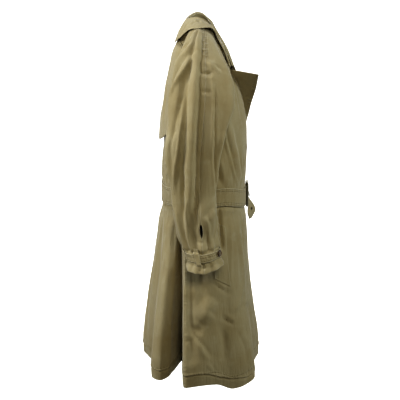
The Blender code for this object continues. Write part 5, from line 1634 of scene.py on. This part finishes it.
# %% On the sleeve
STRAP_THICK = 2.0 * MM
STRAP_RISE = CLOTH / 2 + 1.6 * MM + STRAP_THICK / 2
STRAP_FACE = STRAP_RISE + STRAP_THICK / 2
STRAP_START = 0.98          # turns where the strap begins, ends and is buttoned
STRAP_TIP = -0.58
BUTTON_TURN = -0.34
CUFF_BUTTON_RADIUS = 10 * MM
LOOP_PLACES = (1.825, 1.985)


def on_sleeve(place, turn, side, rise):
    place, turn, rise = np.broadcast_arrays(place, turn, rise)
    turn = np.where(turn == 0, 1e-6, turn)
    return sleeve_point(place, turn, side) + sleeve_normal(place, turn, side) * rise[..., None]


STRAP_CREASES = (
    (4, .6, .5, .3, .1, .31, .9), (4, -.6, .5, .52, .1, .5, .9), (3.5, .6, .5, .64, 0, .65, .7),
    (4, -.5, .4, .12, .2, .13, 1),
)
low, high = STRAP_PLACES
middle = (low + high) / 2
taper = np.linspace(STRAP_TIP + 0.095, STRAP_TIP, 20)
turn = np.concatenate([np.linspace(STRAP_START, STRAP_TIP + 0.10, 200), taper])[None, :]
spread = np.where(turn > STRAP_TIP + 0.09, 1.0, lerp(0.25, 1.0, (turn - STRAP_TIP) / 0.10))
strap_place = middle + np.linspace(-1, 1, 21)[:, None] * spread * (high - low) / 2
along = np.linspace(*LOOP_PLACES, 67)[:, None]
over = ease(low - 0.022, low - 0.006, along) * ease(high + 0.030, high + 0.010, along)
loop_rise = lerp(CLOTH + LAY, STRAP_FACE + 1.9 * MM, over)
loop_turn = lerp(0.075, 0.035, (along - LOOP_PLACES[0]) / 0.16) + np.linspace(0, 0.085, 13)
for side, word in SIDES:
    strap = on_sleeve(strap_place, turn, side, STRAP_RISE)
    shape = strap.shape[:2]
    like = sleeve_normal(np.full(shape, middle), np.broadcast_to(turn, shape), side)
    strap = creased(strap, grid_normals(strap, like), STRAP_CREASES)
    sew("cuff_strap_" + word, strap, grid_normals(strap, like), STRAP_THICK, STRAP_CLOTH,
        PLAIN_CLOTH)

    loop = on_sleeve(along, loop_turn, side, loop_rise)
    like = sleeve_normal(*np.broadcast_arrays(along, loop_turn), side)
    sew("cuff_loop_" + word, loop, grid_normals(loop, like), LOOP_THICK, STRAP_CLOTH, PLAIN_CLOTH)

    point = on_sleeve(middle, BUTTON_TURN, side, STRAP_FACE + 1.3 * MM)
    normal = sleeve_normal(middle, BUTTON_TURN, side)
    sew_button("cuff_button_" + word, point, normal, CUFF_BUTTON_RADIUS)

# %% [markdown]
# ## Stitches
# Each stitch is a small lozenge of thread that lies in the groove its finish
# draws.  A row follows a piece's cut edge at the distance the finish names.

# %% Rows of stitches
STITCH_PITCH = 3.2 * MM
# along the row, across it, height: two ends, two sides, top and foot, in mm
LOZENGE = MM * np.array([(-1.25, 0, -0.12), (1.25, 0, -0.12), (0, 0.34, 0), (0, -0.34, 0),
                         (0, 0, 0.30), (0, 0, -0.20)])
LOZENGE_FACES = np.array([(0, 3, 4), (3, 1, 4), (1, 2, 4), (2, 0, 4),
                          (3, 0, 5), (1, 3, 5), (2, 1, 5), (0, 2, 5)])


def edge_line(points, normals, edge, distance):
    """The line on a grid that runs so many metres inside one of its edges."""
    if edge in ("low", "high"):
        points, normals = points.swapaxes(0, 1), normals.swapaxes(0, 1)
    if edge in ("right", "high"):
        points, normals = points[:, ::-1], normals[:, ::-1]
    run = run_length(points, 1)
    lines = np.arange(len(run))
    j = np.clip((run < distance).sum(1) - 1, 0, run.shape[1] - 2)
    t = ((distance - run[lines, j]) / (run[lines, j + 1] - run[lines, j]))[:, None]
    return lerp(points[lines, j], points[lines, j + 1], t), normals[lines, j]


def stitch_row(points, normals, thickness, edge, distance, until):
    """Vertices of the stitches of one row, one lozenge after the other."""
    line, up = edge_line(points, normals, edge, distance)
    line = line + up * thickness / 2
    length = run_length(line, 0)
    at = np.arange(STITCH_PITCH, min(length[-1], until) - STITCH_PITCH / 2, STITCH_PITCH)

    def each(values):
        return np.stack([np.interp(at, length, column) for column in values.T], 1)

    rise = unit(each(up))
    ahead = unit(each(np.gradient(line, axis=0)))
    aside = np.cross(rise, ahead)
    x, y, z = LOZENGE.T[:, :, None]
    corners = each(line)[:, None] + x * ahead[:, None] + y * aside[:, None] + z * rise[:, None]
    return corners.reshape(-1, 3)


count = 0
for name, (points, normals, thickness, finish) in PIECES.items():
    rows, until = STITCHED[finish]
    if rows:
        verts = np.vstack([stitch_row(points, normals, thickness, edge, distance * MM, until)
                           for edge, distance in rows])
        starts = np.arange(0, len(verts), len(LOZENGE))[:, None, None]
        faces = (LOZENGE_FACES + starts).reshape(-1, 3)
        new_object(name.replace("_cloth", "_stitches"), verts, faces, THREAD)
        count += len(starts)
print(count, "stitches")

# %% Paper sheet
FLOOR_Z = -1.45
paper = Finish("paper", 0.92, base_color=(0.86, 0.86, 0.85, 1), specular_ior_level=0.1,
               emission_color=(1, 1, 1, 1), emission_strength=0.45)
PAPER_FLAT = 3.4            # radius of the flat floor, of its bend, and height of the wall
PAPER_BEND = 1.6
PAPER_TOP = 6.5
bend = np.radians(np.linspace(0, 90, 25))
curved = np.stack([PAPER_FLAT + PAPER_BEND * np.sin(bend),
                   FLOOR_Z + PAPER_BEND * (1 - np.cos(bend))], 1)
verts, faces = lathe([(0.01, FLOOR_Z), *curved, (PAPER_FLAT + PAPER_BEND, PAPER_TOP)], 96)
sheet = mesh_object("paper_sheet", verts, [face[::-1] for face in faces[:-1]], paper.material)
sheet.visible_diffuse = False       # the studio round it is dim, so it throws little light back
sheet.visible_shadow = False
